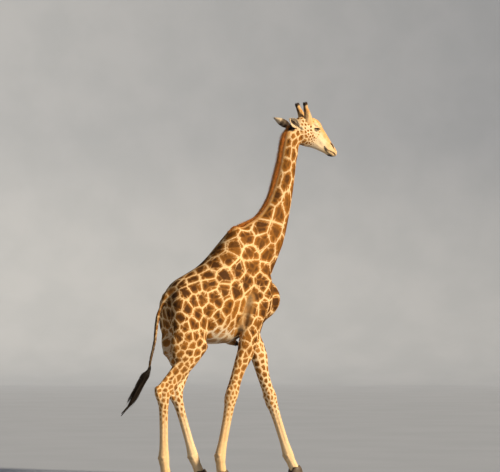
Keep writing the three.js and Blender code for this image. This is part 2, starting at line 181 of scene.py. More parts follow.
def relax(values, pairs, rounds, strength=0.5, hold=None):
    """Laplacian smoothing of rows; hold is how far each row may follow, from 0 to 1."""
    count = np.maximum(np.bincount(pairs.ravel(), minlength=len(values)), 1)[:, None]
    follow = strength if hold is None else strength * hold[:, None]
    first, second = pairs[:, 0], pairs[:, 1]
    for _ in range(rounds):
        total = np.empty_like(values)
        for axis in range(values.shape[1]):
            column = values[:, axis]
            total[:, axis] = np.bincount(first, column[second], len(values))
            total[:, axis] += np.bincount(second, column[first], len(values))
        values = values + follow * (total / count - values)
    return values


def along_line(points, line):
    """Nearest place on a bent line: its distance, knot number with fraction, and direction."""
    line = np.asarray(line, float)
    best = np.full(len(points), np.inf)
    knot = np.zeros(len(points))
    way = np.zeros((len(points), 3))
    for index, (start, end) in enumerate(zip(line[:-1], line[1:])):
        step = end - start
        t = np.clip((points - start) @ step / (step @ step), 0, 1)
        gap = np.linalg.norm(points - start - t[:, None] * step, axis=1)
        closer = gap < best
        best[closer] = gap[closer]
        knot[closer] = index + t[closer]
        way[closer] = unit(step)
    return best, knot, way


def set_attribute(mesh, name, values):
    """Stores one number or one vector at each vertex."""
    values = np.asarray(values, np.float32)
    is_vector = values.ndim == 2
    attribute = mesh.attributes.new(name, "FLOAT_VECTOR" if is_vector else "FLOAT", "POINT")
    attribute.data.foreach_set("vector" if is_vector else "value", values.ravel())


def loft(centres, reaches, across, up, sides, power=2.0):
    """Rings round a line: reaches give each ring's half-width along across and along up."""
    angle = np.linspace(0, 2 * math.pi, sides, endpoint=False)
    c, s = np.cos(angle), np.sin(angle)
    wide = np.sign(c) * np.abs(c) ** (2 / power)
    high = np.sign(s) * np.abs(s) ** (2 / power)
    rings = (centres[:, None] + wide[None, :, None] * reaches[:, None, :1] * across[:, None]
             + high[None, :, None] * reaches[:, None, 1:] * up[:, None])
    return rings.reshape(-1, 3), ring_faces(len(centres), sides)


def ring_faces(rings, sides, closed_ends=True):
    """Quads between rings, with both ends closed onto their first vertex by thin fans."""
    ring, side = np.meshgrid(np.arange(rings - 1), np.arange(sides), indexing="ij")
    a = (ring * sides + side).ravel()
    b = (ring * sides + (side + 1) % sides).ravel()
    quads = np.stack([a, b, b + sides, a + sides], axis=1)
    if not closed_ends:
        return quads
    fan = np.arange(1, sides - 1)
    first = np.stack([np.zeros_like(fan), fan + 1, fan, np.zeros_like(fan)], axis=1)
    last = (rings - 1) * sides + np.stack([np.zeros_like(fan), fan, fan + 1, np.zeros_like(fan)], axis=1)
    return quads, np.concatenate([first[:, :3], last[:, :3]])


def smooth_line(knots, count):
    """Points spaced evenly in parameter on a smooth curve through the knots (Catmull-Rom)."""
    knots = np.asarray(knots, float)
    padded = np.concatenate([[2 * knots[0] - knots[1]], knots, [2 * knots[-1] - knots[-2]]])
    position = np.linspace(0, len(knots) - 1, count)
    index = np.minimum(position.astype(int), len(knots) - 2)
    t = (position - index)[:, None]
    p0, p1, p2, p3 = (padded[index + k] for k in range(4))
    return 0.5 * (2 * p1 + (p2 - p0) * t + (2 * p0 - 5 * p1 + 4 * p2 - p3) * t ** 2
                  + (3 * p1 - p0 - 3 * p2 + p3) * t ** 3)


# ---------------------------------------------------------------- the skin: one closed surface

OVERLAP = 0.0008
LEG_NODES = [f"{leg}_{half}" for leg in LEGS for half in ("upper", "lower")]
HEAD_SEAM = {"point": at(0.830, 0, 3.830), "normal": unit([0.2, 0, 0.98])}
LEG_SEAM = {"point": at(0, 0, 1.215), "normal": np.array([0, 0, 1.0])}
SEAM_GAP = 0.009
SKIN_PARTS = {
    "head": {"nodes": ["head", "neck"], "square": 0.0036, "above": HEAD_SEAM},
    "body": {"nodes": ["neck", "trunk", "tail"] + LEG_NODES, "square": 0.0105,
             "below": HEAD_SEAM, "above": LEG_SEAM},
    "legs": {"nodes": LEG_NODES, "square": 0.0064, "below": LEG_SEAM},
}


def grown(mesh, distance):
    """Moves the vertices out along their normals, so that pieces that nearly touch overlap."""
    write_positions(mesh, positions(mesh) + normals(mesh) * distance)
    return mesh


def merged(meshes):
    """Several meshes as one."""
    joined = bmesh.new()
    for mesh in meshes:
        joined.from_mesh(mesh)
    result = bpy.data.meshes.new("merged")
    joined.to_mesh(result)
    joined.free()
    return result


def remeshed(mesh, voxel):
    """The mesh as one even surface of small squares."""
    obj = add_object("to_remesh", mesh)
    modifier = obj.modifiers.new("remesh", "REMESH")
    modifier.mode = "VOXEL"
    modifier.voxel_size = voxel
    graph = bpy.context.evaluated_depsgraph_get()
    result = bpy.data.meshes.new_from_object(obj.evaluated_get(graph))
    bpy.data.objects.remove(obj)
    return result


def flesh_copy(node):
    """A slightly grown copy of one solid of flesh."""
    return grown(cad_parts[node].data.copy(), OVERLAP)


EAR_PROFILE = [[0, 0.026], [0.18, 0.034], [0.4, 0.052], [0.62, 0.050], [0.84, 0.029], [1, 0.006]]
EAR_CUP = 0.030
EAR_HALF_THICKNESS = 0.0065
EAR_RINGS = 44  # along the ear, and corners in each ring
EAR_FULL_WIDTH = 0.045  # half-width from which the hollow has its full depth


def ear_axes(name):
    """Where an ear starts, its line to the tip, the way it opens and the way across it."""
    base = at(0.955, SIDES[name] * EAR_BASE_OUT, 4.185)
    line = EAR_TIPS[name] - base
    opening = np.array([0.35, SIDES[name] * 0.8, -0.35])
    opening = unit(opening - line * (opening @ line) / (line @ line))
    return base, line, opening, unit(np.cross(opening, line))


def ear_leaf(name):
    """The leaf of an ear, hollowed on the side that it opens to, with rolled edges near the base."""
    base, line, opening, across = ear_axes(name)
    profile = smooth_line(EAR_PROFILE, EAR_RINGS)
    angle = np.linspace(0, 2 * math.pi, EAR_RINGS, endpoint=False)
    t, width = profile[:, :1], profile[:, 1:]
    spread = np.cos(angle)[None] * width
    cup = EAR_CUP * (1 - np.cos(angle)[None] ** 2) * np.minimum(width / EAR_FULL_WIDTH, 1)
    round_edge = np.sign(np.sin(angle)) * np.abs(np.sin(angle)) ** 0.45
    depth = round_edge[None] * EAR_HALF_THICKNESS - cup
    verts = base + t[..., None] * line + spread[..., None] * across + depth[..., None] * opening
    return mesh_from("ear_leaf", verts.reshape(-1, 3), *ring_faces(EAR_RINGS, EAR_RINGS))


def cut_away(mesh, seam, keep_above):
    """Removes one side of a plane from a bmesh and leaves the rim open."""
    shift = SEAM_GAP / 2 if keep_above else -SEAM_GAP / 2
    everything = mesh.verts[:] + mesh.edges[:] + mesh.faces[:]
    bmesh.ops.bisect_plane(mesh, geom=everything, plane_co=Vector(seam["point"] + seam["normal"] * shift),
                           plane_no=Vector(seam["normal"]), clear_inner=keep_above,
                           clear_outer=not keep_above)


def rims(mesh):
    """The open rims of a bmesh, each as a list of edges, in the same order in every run."""
    mesh.edges.index_update()
    left = {edge.index: edge for edge in mesh.edges if edge.is_boundary}
    found = []
    while left:
        rim = []
        front = [left.popitem()[1]]
        while front:
            edge = front.pop()
            rim.append(edge)
            for vertex in edge.verts:
                front += [left.pop(other.index) for other in vertex.link_edges if other.index in left]
        found.append(rim)
    return found


def rim_middle(rim):
    """The middle of an open rim."""
    return np.mean([edge.verts[0].co for edge in rim], axis=0)


def close_seams(mesh):
    """Bridges each open rim to the rim that faces it."""
    left = rims(mesh)
    while left:
        rim = left.pop()
        middle = rim_middle(rim)
        gaps = [np.linalg.norm(rim_middle(other) - middle) for other in left]
        facing = left.pop(int(np.argmin(gaps)))
        bmesh.ops.bridge_loops(mesh, edges=rim + facing)


def eye_centre(side):
    """The middle of an eyeball."""
    return on_head(EYE_AT[0], EYE_AT[1], side * EYE_AT[2])


LID_REACH = 0.052
LID_THICKNESS = 0.0042


def lid_clay(side):
    """A ball that fills the eye's socket, for the lids to be shaped from."""
    ball = bmesh.new()
    bmesh.ops.create_icosphere(ball, subdivisions=4, radius=EYE_RADIUS + LID_THICKNESS)
    bmesh.ops.translate(ball, verts=ball.verts[:], vec=Vector(eye_centre(side)))
    mesh = bpy.data.meshes.new("lid_clay")
    ball.to_mesh(mesh)
    ball.free()
    return mesh


def skin_surface():
    """All flesh as one closed mesh: large squares on the body, finer ones on legs and head."""
    whole = bmesh.new()
    for name, part in SKIN_PARTS.items():
        clay = [flesh_copy(node) for node in part["nodes"]]
        if name == "head":
            clay += [ear_leaf(side) for side in SIDES] + [lid_clay(side) for side in SIDES.values()]
        piece = bmesh.new()
        piece.from_mesh(remeshed(merged(clay), part["square"]))
        for key in ("above", "below"):
            if key in part:
                cut_away(piece, part[key], key == "above")
        mesh = bpy.data.meshes.new(name)
        piece.to_mesh(mesh)
        piece.free()
        whole.from_mesh(mesh)
    close_seams(whole)
    for side in SIDES.values():
        centre = Vector(eye_centre(side))
        lid_edges = [edge for edge in whole.edges if (edge.verts[0].co - centre).length < LID_REACH]
        bmesh.ops.subdivide_edges(whole, edges=lid_edges, cuts=1, use_grid_fill=True)
    bmesh.ops.recalc_face_normals(whole, faces=whole.faces[:])
    result = bpy.data.meshes.new("skin")
    whole.to_mesh(result)
    whole.free()
    return largest_island(result)


def largest_island(mesh):
    """The mesh without the small bubbles that remeshing may leave inside it."""
    pairs = edge_pairs(mesh)
    label = np.arange(len(mesh.vertices))
    while True:
        lowest = np.minimum(label[pairs[:, 0]], label[pairs[:, 1]])
        spread = label.copy()
        np.minimum.at(spread, pairs[:, 0], lowest)
        np.minimum.at(spread, pairs[:, 1], lowest)
        spread = spread[spread]
        if (spread == label).all():
            break
        label = spread
    main = np.bincount(label).argmax()
    clean = bmesh.new()
    clean.from_mesh(mesh)
    clean.verts.ensure_lookup_table()
    stray = [clean.verts[int(index)] for index in np.flatnonzero(label != main)]
    bmesh.ops.delete(clean, geom=stray, context="VERTS")
    clean.to_mesh(mesh)
    clean.free()
    mesh.polygons.foreach_set("use_smooth", np.ones(len(mesh.polygons), bool))
    return mesh


# ---------------------------------------------------------------- lines inside the body that tell its regions

# Each knot: place, radius, how much the shape is eased, patch size, patch stretch along the
# line, half-width of the pale lines between patches, and strength of the patches.
LINE_FIELDS = ("radius", "ease", "patch", "stretch", "pale_line", "strength")
TAIL_KNOTS = [at(-0.93, 0, 2.13), at(-0.978, 0, 2.07), at(-1.047, 0, 1.94), at(-1.078, 0.003, 1.765),
              at(-1.098, 0.006, 1.60), at(-1.144, 0.012, 1.43), at(-1.165, 0.018, 1.296)]


def foreleg_knots(leg):
    """Knots of a foreleg's line, from the shoulder to the hoof."""
    return [
        (on_leg(leg, "shoulder", "elbow", 0), 0.19, 0.60, 0.175, 1.2, 0.0088, 1.0),
        (on_leg(leg, "shoulder", "elbow", 1), 0.13, 0.25, 0.090, 1.2, 0.0082, 1.0),
        (on_leg(leg, "elbow", "knee", 0.45), 0.10, 0.17, 0.056, 1.2, 0.0074, 1.0),
        (on_leg(leg, "elbow", "knee", 1), 0.075, 0.10, 0.043, 1.2, 0.0072, 0.85),
        (on_leg(leg, "knee", "fetlock", 0.5), 0.055, 0.10, 0.038, 1.3, 0.0074, 0.36),
        (on_leg(leg, "knee", "fetlock", 1), 0.06, 0.08, 0.040, 1.0, 0.009, 0.16),
        (on_leg(leg, "fetlock", "hoof", 1), 0.06, 0.05, 0.035, 1.0, 0.010, 0.0),
    ]


def hindleg_knots(leg):
    """Knots of a hind leg's line, from the hip to the hoof."""
    return [
        (on_leg(leg, "hip", "stifle", 0), 0.25, 0.90, 0.124, 1.1, 0.0080, 1.0),
        (on_leg(leg, "hip", "stifle", 1), 0.17, 0.45, 0.080, 1.1, 0.0074, 1.0),
        (on_leg(leg, "stifle", "hock", 0.5), 0.11, 0.18, 0.053, 1.2, 0.0068, 1.0),
        (on_leg(leg, "stifle", "hock", 1), 0.075, 0.08, 0.044, 1.2, 0.0070, 0.95),
        (on_leg(leg, "hock", "fetlock", 0.5), 0.055, 0.10, 0.040, 1.3, 0.0074, 0.50),
        (on_leg(leg, "hock", "fetlock", 1), 0.06, 0.08, 0.040, 1.0, 0.0090, 0.25),
        (on_leg(leg, "fetlock", "hoof", 1), 0.06, 0.05, 0.035, 1.0, 0.0100, 0.0),
    ]


def ear_knots(name):
    """Knots of an ear's line, from inside the head to the tip."""
    base, line, _, _ = ear_axes(name)
    return [(base - 0.1 * line, 0.04, 0.05, 0.030, 1.0, 0.010, 0.0),
            (base + 0.5 * line, 0.06, 0.02, 0.030, 1.0, 0.010, 0.0),
            (base + line, 0.04, 0.02, 0.030, 1.0, 0.010, 0.0)]


BODY_LINES = {
    "head": [
        (on_head(0.66, 0.07), 0.05, 0.35, 0.030, 1.0, 0.0080, 0.0),
        (on_head(0.45, 0.10), 0.07, 0.40, 0.030, 1.0, 0.0080, 0.15),
        (on_head(0.25, 0.10), 0.10, 0.45, 0.028, 1.0, 0.0055, 0.9),
        (on_head(0.05, 0.08), 0.11, 0.45, 0.038, 1.0, 0.0058, 1.0),
        (on_head(-0.03, 0.03), 0.11, 0.45, 0.052, 1.1, 0.0064, 1.0),
    ],
    "neck": [
        (at(0.930, 0, 4.10), 0.10, 0.60, 0.058, 1.2, 0.0070, 1.0),
        (at(0.853, 0, 3.96), 0.11, 0.60, 0.076, 1.5, 0.0078, 1.0),
        (at(0.770, 0, 3.55), 0.12, 0.45, 0.108, 1.6, 0.0082, 1.0),
        (at(0.618, 0, 3.105), 0.16, 0.50, 0.128, 1.7, 0.0086, 1.0),
        (at(0.510, 0, 2.92), 0.20, 0.50, 0.140, 1.6, 0.0086, 1.0),
        (at(0.330, 0, 2.70), 0.28, 1.00, 0.165, 1.3, 0.0088, 1.0),
    ],
    "trunk": [
        (at(0.50, 0, 2.20), 0.20, 0.50, 0.150, 1.2, 0.0086, 1.0),
        (at(0.25, 0, 2.32), 0.38, 1.00, 0.180, 1.1, 0.0088, 1.0),
        (at(-0.25, 0, 2.14), 0.46, 1.00, 0.170, 1.0, 0.0086, 1.0),
        (at(-0.65, 0, 2.02), 0.38, 1.00, 0.128, 1.1, 0.0080, 1.0),
        (at(-0.93, 0, 2.08), 0.18, 0.80, 0.090, 1.1, 0.0078, 1.0),
    ],
    "tail": [(place, 0.035, 0.04, 0.045, 1.4, 0.008, strength)
             for place, strength in zip(TAIL_KNOTS, (1.0, 0.9, 0.8, 0.8, 0.7, 0.6, 0.5))],
}
BODY_LINES |= {leg: foreleg_knots(leg) if "fore" in leg else hindleg_knots(leg) for leg in LEGS}
BODY_LINES |= {f"ear_{name}": ear_knots(name) for name in SIDES}


# Behind each elbow: how far ahead of it, out from the middle and above it.
FOLD_EDGE = [(-0.134, 0.300, 0.405), (-0.138, 0.294, 0.263), (-0.164, 0.282, 0.102), (-0.195, 0.240, -0.025),
             (-0.260, 0.180, -0.129)]
FOLD_HOLLOW = [(-0.018, 0.262, 0.370), (-0.075, 0.266, 0.223), (-0.118, 0.262, 0.062), (-0.145, 0.240, 0.005)]
STREAKS = [(-0.440, 0.250, -0.100), (-0.330, 0.300, 0.100), (-0.225, 0.315, 0.284)]
STREAK_WAY = unit([0.46, 0, 0.89])
STREAK_REACH = (0.22, 0.10)  # from the line: where the streaks begin and where they are strongest
STREAK_SHAPE = {"patch": 0.078, "stretch": 2.3, "pale_line": 0.0080}


def by_elbow(leg, knots):
    """A path behind an elbow in the row frame."""
    elbow = LEGS[leg]["elbow"]
    return np.array([[elbow[0] + x, SIDE_OF[leg] * out, elbow[2] + z] for x, out, z in knots])


def region_map(points):
    """Weight of each body line at each point, the blended knot values and the blended direction."""
    weights, values, ways = {}, 0, 0
    for name, knots in BODY_LINES.items():
        table = np.array([row[1:] for row in knots])
        gap, knot, way = along_line(points, [row[0] for row in knots])
        index = np.minimum(knot.astype(int), len(knots) - 2)
        share = (knot - index)[:, None]
        local = table[index] * (1 - share) + table[index + 1] * share
        weight = np.exp(-2.2 * (gap / local[:, 0]) ** 2) + 1e-12
        weights[name] = weight
        values = values + weight[:, None] * local
        ways = ways + weight[:, None] * way
    total = sum(weights.values())
    fields = dict(zip(LINE_FIELDS, (values / total[:, None]).T))
    for leg in FORELEGS:
        gap = along_line(points, by_elbow(leg, STREAKS))[0]
        streaked = 0.9 * ramp(gap, *STREAK_REACH)
        for field, value in STREAK_SHAPE.items():
            fields[field] = fields[field] * (1 - streaked) + value * streaked
        ways = unit(ways) * (1 - streaked[:, None]) + STREAK_WAY * streaked[:, None]
    upper_rump = ramp(points[:, 0], -0.35, -0.60) * ramp(points[:, 2], 2.18, 2.38)
    fields["stretch"] = fields["stretch"] + 0.7 * upper_rump
    fields["patch"] = fields["patch"] * (1 - 0.35 * upper_rump)
    return {name: weight / total for name, weight in weights.items()}, fields, unit(ways)


# ---------------------------------------------------------------- modelling strokes on the skin


def stroke(co, normal, path, radius, height, fading=0.3):
    """Raises the skin along a bent line, or sinks it where height is negative, fading at both ends."""
    path = np.asarray(path, float)
    low, high = path.min(axis=0) - radius, path.max(axis=0) + radius
    rows = np.flatnonzero(((co > low) & (co < high)).all(axis=1))
    if len(path) == 1:
        gap = np.linalg.norm(co[rows] - path[0], axis=1)
    else:
        gap, knot, _ = along_line(co[rows], path)
        share = knot / (len(path) - 1)
        height = height * (0.25 + 0.75 * ramp(np.minimum(share, 1 - share), 0, fading))
    co[rows] += normal[rows] * (height * ramp(gap, radius, 0))[:, None]


# Places on the body as x, distance out and z; then radius and height of the stroke.
TRUNK_STROKES = [
    ([(-0.600, 0.245, 2.330)], 0.110, 0.016),  # point of the hip
    ([(-0.430, 0.290, 2.170), (-0.400, 0.300, 2.000)], 0.150, -0.016),  # hollow of the flank
    ([(-0.905, 0.130, 2.150)], 0.080, 0.014),  # point of the buttock
    ([(-0.300, 0.300, 1.780), (-0.420, 0.300, 1.700), (-0.520, 0.290, 1.640)], 0.070, 0.012),  # flank fold
    ([(-0.900, 0.220, 1.980), (-0.880, 0.230, 1.700)], 0.050, -0.009),  # cleft of the hamstrings
    ([(-0.700, 0.300, 2.050), (-0.640, 0.310, 1.850)], 0.110, 0.008),
    # behind the shoulder
    ([(0.050, 0.150, 2.780), (-0.020, 0.260, 2.450), (0.000, 0.290, 2.120)], 0.070, -0.010),
    ([(0.550, 0.100, 2.560), (0.600, 0.120, 2.350)], 0.070, -0.010),
    # groove of the throat
    ([(0.640, 0.060, 2.720), (0.790, 0.075, 3.200), (0.880, 0.070, 3.600), (0.955, 0.065, 3.900)],
     0.045, -0.007),
    ([(0.690, 0.100, 2.520), (0.660, 0.130, 2.300)], 0.060, -0.010),  # fold above the brisket
    ([(0.560, 0.160, 2.330), (0.640, 0.100, 2.240), (0.690, 0.000, 2.230)], 0.045, -0.009),
    ([(0.140, 0.120, 2.820), (0.170, 0.150, 2.650)], 0.090, 0.007),  # top of the shoulder blade
]
RIB_COUNT = 8
RIB_STEP = 0.075


def rib_strokes():
    """Faint ribs from behind the shoulder to the flank."""
    found = []
    for rib in range(RIB_COUNT):
        x = 0.02 - rib * RIB_STEP
        path = [(x, 0.27, 2.42 - 0.02 * rib), (x - 0.05, 0.325, 2.15), (x - 0.03, 0.30, 1.88)]
        found.append((path, 0.042, 0.0022 + 0.0006 * math.sin(2.3 * rib)))
    return found


# Neck bones show as a soft row of bulges down its side.
NECK_BULGES = [([(0.905 - 0.055 * bone, 0.085 + 0.006 * bone, 3.86 - 0.215 * bone)], 0.095, 0.007)
               for bone in range(6)]

# Places along the head (s), above its axis (h) and out; then radius and height.
HEAD_STROKES = [
    ([(0.150, 0.205, 0.070), (0.205, 0.200, 0.086), (0.262, 0.178, 0.076)], 0.030, 0.010),  # brow
    ([(0.250, 0.110, 0.085), (0.180, 0.098, 0.098), (0.060, 0.120, 0.098)], 0.026, 0.006),  # cheek bone
    ([(0.120, 0.010, 0.092)], 0.085, 0.008),  # jaw muscle
    ([(0.170, -0.050, 0.085), (0.080, -0.085, 0.075)], 0.030, 0.004),
    ([(0.215, 0.030, 0.092), (0.230, -0.040, 0.080)], 0.030, -0.005),  # front edge of the jaw muscle
    # side of the nose
    ([(0.280, 0.150, 0.078), (0.380, 0.140, 0.062), (0.480, 0.120, 0.052)], 0.026, -0.005),
    ([(0.300, 0.080, 0.080), (0.400, 0.070, 0.064)], 0.030, 0.004),  # cheek ridge
    ([(0.330, 0.030, 0.070), (0.440, 0.025, 0.058)], 0.024, -0.004),
    ([(0.100, 0.160, 0.088), (0.090, 0.200, 0.075)], 0.040, -0.008),  # hollow of the temple
    ([(0.010, 0.060, 0.085), (0.020, -0.040, 0.080)], 0.030, -0.006),  # behind the jaw
    ([(0.545, 0.128, 0.040)], 0.034, 0.006),  # wing of the nostril
    ([(0.600, 0.085, 0.052), (0.640, 0.085, 0.030)], 0.026, 0.006),  # upper lip
    ([(0.590, 0.030, 0.050), (0.625, 0.030, 0.022)], 0.020, 0.004),  # lower lip
    ([(0.560, 0.004, 0.000), (0.600, 0.014, 0.000)], 0.030, 0.005),  # chin
    ([(0.170, 0.300, 0.000), (0.270, 0.285, 0.000)], 0.060, 0.006),  # middle bump of the forehead
    ([(0.085, 0.215, 0.078), (0.110, 0.235, 0.068)], 0.055, 0.010),  # foot of the ossicone
    ([(0.150, 0.262, 0.045)], 0.045, 0.008),
]
HEAD_CREASES = [
    ([(0.652, 0.052, 0.000), (0.640, 0.052, 0.034), (0.600, 0.050, 0.053), (0.540, 0.043, 0.056),
      (0.480, 0.040, 0.056), (0.452, 0.046, 0.056)], 0.0085, -0.0105),  # mouth
    ([(0.518, 0.134, 0.052), (0.540, 0.125, 0.053), (0.562, 0.110, 0.051)], 0.0100, -0.0160),  # nostril
    ([(0.512, 0.140, 0.048), (0.540, 0.138, 0.047), (0.570, 0.124, 0.046)], 0.0090, 0.0040),
    ([(0.515, 0.118, 0.056), (0.540, 0.108, 0.056), (0.566, 0.094, 0.054)], 0.0090, 0.0030),
    ([(0.455, 0.056, 0.058), (0.440, 0.066, 0.060)], 0.0080, -0.0030),
    ([(0.445, 0.030, 0.058), (0.425, 0.020, 0.060)], 0.0080, -0.0025),
    ([(0.262, 0.128, 0.084), (0.285, 0.112, 0.080)], 0.0070, -0.0050),  # tear duct
]

# Leg strokes: the joints they lie between, their knots as share down, ahead and out; radius, height.
FORELEG_STROKES = [
    ("elbow", "knee", [(0.05, -0.03, 0.08), (0.55, -0.03, 0.065)], 0.026, -0.006),
    ("elbow", "knee", [(0.02, -0.13, 0.0)], 0.060, 0.014),  # point of the elbow
    ("elbow", "knee", [(0.90, -0.02, 0.068)], 0.040, 0.006),
    ("elbow", "knee", [(0.97, -0.075, 0.02)], 0.036, 0.012),  # pea-shaped bone behind the knee
    ("knee", "fetlock", [(0.0, 0.078, 0.0), (0.08, 0.070, 0.0)], 0.040, 0.005),
    ("knee", "fetlock", [(0.02, 0.05, 0.055)], 0.026, 0.004),
    ("knee", "fetlock", [(0.02, 0.05, -0.055)], 0.026, 0.004),
    ("knee", "fetlock", [(0.10, -0.030, 0.050), (0.90, -0.028, 0.046)], 0.024, -0.0058),  # tendon groove
    ("knee", "fetlock", [(0.10, -0.030, -0.050), (0.90, -0.028, -0.046)], 0.024, -0.0058),
    ("knee", "fetlock", [(0.99, -0.050, 0.040)], 0.032, 0.009),
    ("knee", "fetlock", [(0.99, -0.050, -0.040)], 0.032, 0.009),
    ("fetlock", "hoof", [(0.10, 0.055, 0.0), (0.62, 0.055, 0.0)], 0.014, -0.008),  # cleft of the toes
    ("fetlock", "hoof", [(0.10, -0.065, 0.0), (0.70, -0.060, 0.0)], 0.018, -0.010),
]
HINDLEG_STROKES = [
    ("stifle", "hock", [(0.45, -0.075, 0.050), (0.92, -0.060, 0.040)], 0.030, -0.014),  # hollow of the gaskin
    ("stifle", "hock", [(0.45, -0.075, -0.050), (0.92, -0.060, -0.040)], 0.030, -0.014),
    ("stifle", "hock", [(0.02, 0.090, 0.02)], 0.090, 0.004),  # knee cap
    ("stifle", "hock", [(0.97, -0.02, 0.060)], 0.036, 0.006),
    ("hock", "fetlock", [(0.05, 0.05, 0.030)], 0.030, 0.004),
    ("hock", "fetlock", [(0.12, -0.028, 0.048), (0.90, -0.026, 0.044)], 0.024, -0.0058),
    ("hock", "fetlock", [(0.12, -0.028, -0.048), (0.90, -0.026, -0.044)], 0.024, -0.0058),
    ("hock", "fetlock", [(0.99, -0.048, 0.040)], 0.032, 0.009),
    ("hock", "fetlock", [(0.99, -0.048, -0.040)], 0.032, 0.009),
    ("fetlock", "hoof", [(0.10, 0.052, 0.0), (0.62, 0.052, 0.0)], 0.014, -0.008),
    ("fetlock", "hoof", [(0.10, -0.062, 0.0), (0.70, -0.058, 0.0)], 0.018, -0.010),
]


def body_strokes():
    """Every stroke as a path in the row frame with its radius and height."""
    for knots, radius, height in TRUNK_STROKES + rib_strokes() + NECK_BULGES:
        for side in SIDES.values():
            yield [at(x, side * out, z) for x, out, z in knots], radius, height
    for leg in FORELEGS:
        yield by_elbow(leg, FOLD_HOLLOW), 0.058, -0.032
        yield by_elbow(leg, FOLD_HOLLOW) + [0.090, 0, 0.010], 0.050, 0.012
        yield by_elbow(leg, FOLD_EDGE), 0.034, 0.010
        for step in (-0.055, -0.105):
            yield by_elbow(leg, FOLD_EDGE) + [step, 0, step * 0.35], 0.020, 0.0045
    for leg in LEGS:
        for upper, lower, knots, radius, height in FORELEG_STROKES if "fore" in leg else HINDLEG_STROKES:
            yield [on_leg(leg, upper, lower, *knot) for knot in knots], radius, height


def head_strokes(table):
    """Strokes of the head as paths in the row frame; those off the middle come on both sides."""
    for knots, radius, height in table:
        for side in SIDES.values():
            is_middle = all(out == 0 for _, _, out in knots)
            if side > 0 or not is_middle:
                yield [on_head(s, h, side * out) for s, h, out in knots], radius, height


SLIT_PITCH = math.radians(-13)  # how far the eye's slit dips towards the nose; below 0 it rises
SLIT_HALF_LENGTH = 0.0285
SLIT_TOP = 0.0062
SLIT_BOTTOM = 0.0034
LID_CREASE = 0.0095  # from the slit's edge to the fold of each lid
SOCKET_DEPTH = 0.008  # how far the skin lies inside the ball where the slit is open


def eye_axes(side):
    """Outward axis of an eye, the line of its slit towards the nose, and the way up across it."""
    outward = unit(HEAD_AXIS * 0.26 + HEAD_UP * 0.20 + np.array([0, side, 0]))
    slit = HEAD_AXIS * math.cos(SLIT_PITCH) - HEAD_UP * math.sin(SLIT_PITCH)
    slit = unit(slit - outward * (slit @ outward))
    upward = np.cross(outward, slit) * side * -1
    return outward, slit, upward if upward @ HEAD_UP > 0 else -upward


def slit_place(co, side):
    """Where places lie about an eye's slit: along it, above it, how far inside it, and its edges."""
    outward, slit, upward = eye_axes(side)
    rel = co - eye_centre(side)
    along, above = rel @ slit, rel @ upward
    arc = np.maximum(1 - (along / SLIT_HALF_LENGTH) ** 2, 0)
    top, bottom = SLIT_TOP * arc ** 0.8, -SLIT_BOTTOM * arc ** 0.9
    return rel, rel @ outward, along, above, top, bottom


def ridge(away, width):
    """1 in the middle of a rounded ridge, falling off within its width."""
    return np.exp(-(away / width) ** 2)


def shape_lids(co):
    """Wraps the skin round each eyeball as two lids with an almond-shaped slit."""
    for side in SIDES.values():
        rows = np.flatnonzero(np.linalg.norm(co - eye_centre(side), axis=1) < LID_REACH * 1.1)
        rel, outside, along, above, top, bottom = slit_place(co[rows], side)
        reach = np.linalg.norm(rel, axis=1)
        hold = ramp(np.hypot(along, above), 0.048, 0.026) * ramp(outside / reach, 0.15, 0.45)
        inside = np.minimum(top - above, above - bottom)
        open_share = ramp(inside, -0.0012, 0.0012) * (np.abs(along) < SLIT_HALF_LENGTH)
        crease = 0.0030 * ridge(above - top - LID_CREASE, 0.0024) * ramp(np.abs(along), 0.034, 0.02)
        crease += 0.0018 * ridge(above - bottom + LID_CREASE, 0.0026) * ramp(np.abs(along), 0.03, 0.015)
        rim = 0.0012 * ridge(inside + 0.0022, 0.0016)
        lid = EYE_RADIUS + LID_THICKNESS - crease + rim
        target = lid * (1 - open_share) + (EYE_RADIUS - SOCKET_DEPTH) * open_share
        co[rows] += rel / reach[:, None] * ((target - reach) * hold)[:, None]


EASE_ROUNDS = 80
SHEATH_LINE = [at(0.000, 0, 1.615), at(0.100, 0, 1.590)]


def shaped_skin():
    """The skin with its facets eased away and its muscles, bones, folds and face modelled."""
    mesh = skin_surface()
    co = positions(mesh)
    pairs = edge_pairs(mesh)
    weights, fields, _ = region_map(co)
    from_sheath = along_line(co, SHEATH_LINE)[0]
    co = relax(co, pairs, EASE_ROUNDS, hold=np.clip(fields["ease"], 0, 1) * ramp(from_sheath, 0.05, 0.10))
    fine_neck = weights["neck"] * ramp((co - HEAD_SEAM["point"]) @ HEAD_SEAM["normal"], -0.02, 0.03)
    co = relax(co, pairs, 2 * EASE_ROUNDS, hold=fine_neck)
    write_positions(mesh, co)
    normal = normals(mesh)
    for path, radius, height in body_strokes():
        stroke(co, normal, path, radius, height)
    for path, radius, height in head_strokes(HEAD_STROKES):
        stroke(co, normal, path, radius, height)
    write_positions(mesh, co)
    normal = normals(mesh)
    for path, radius, height in head_strokes(HEAD_CREASES):
        stroke(co, normal, path, radius, height, fading=0.1)
    shape_lids(co)
    co = relax(co, pairs, 1, strength=0.4)
    write_positions(mesh, co)
    return mesh


# ---------------------------------------------------------------- markings

SAMPLE_SIZE = 30000  # places that the patch centres are chosen from and settled on
NEAR_PATCHES = 14
NORMAL_SHARE = 0.45  # keeps patches on thin parts from showing through to the other side
SETTLING_ROUNDS = 3
SEED_SPACING = 0.92


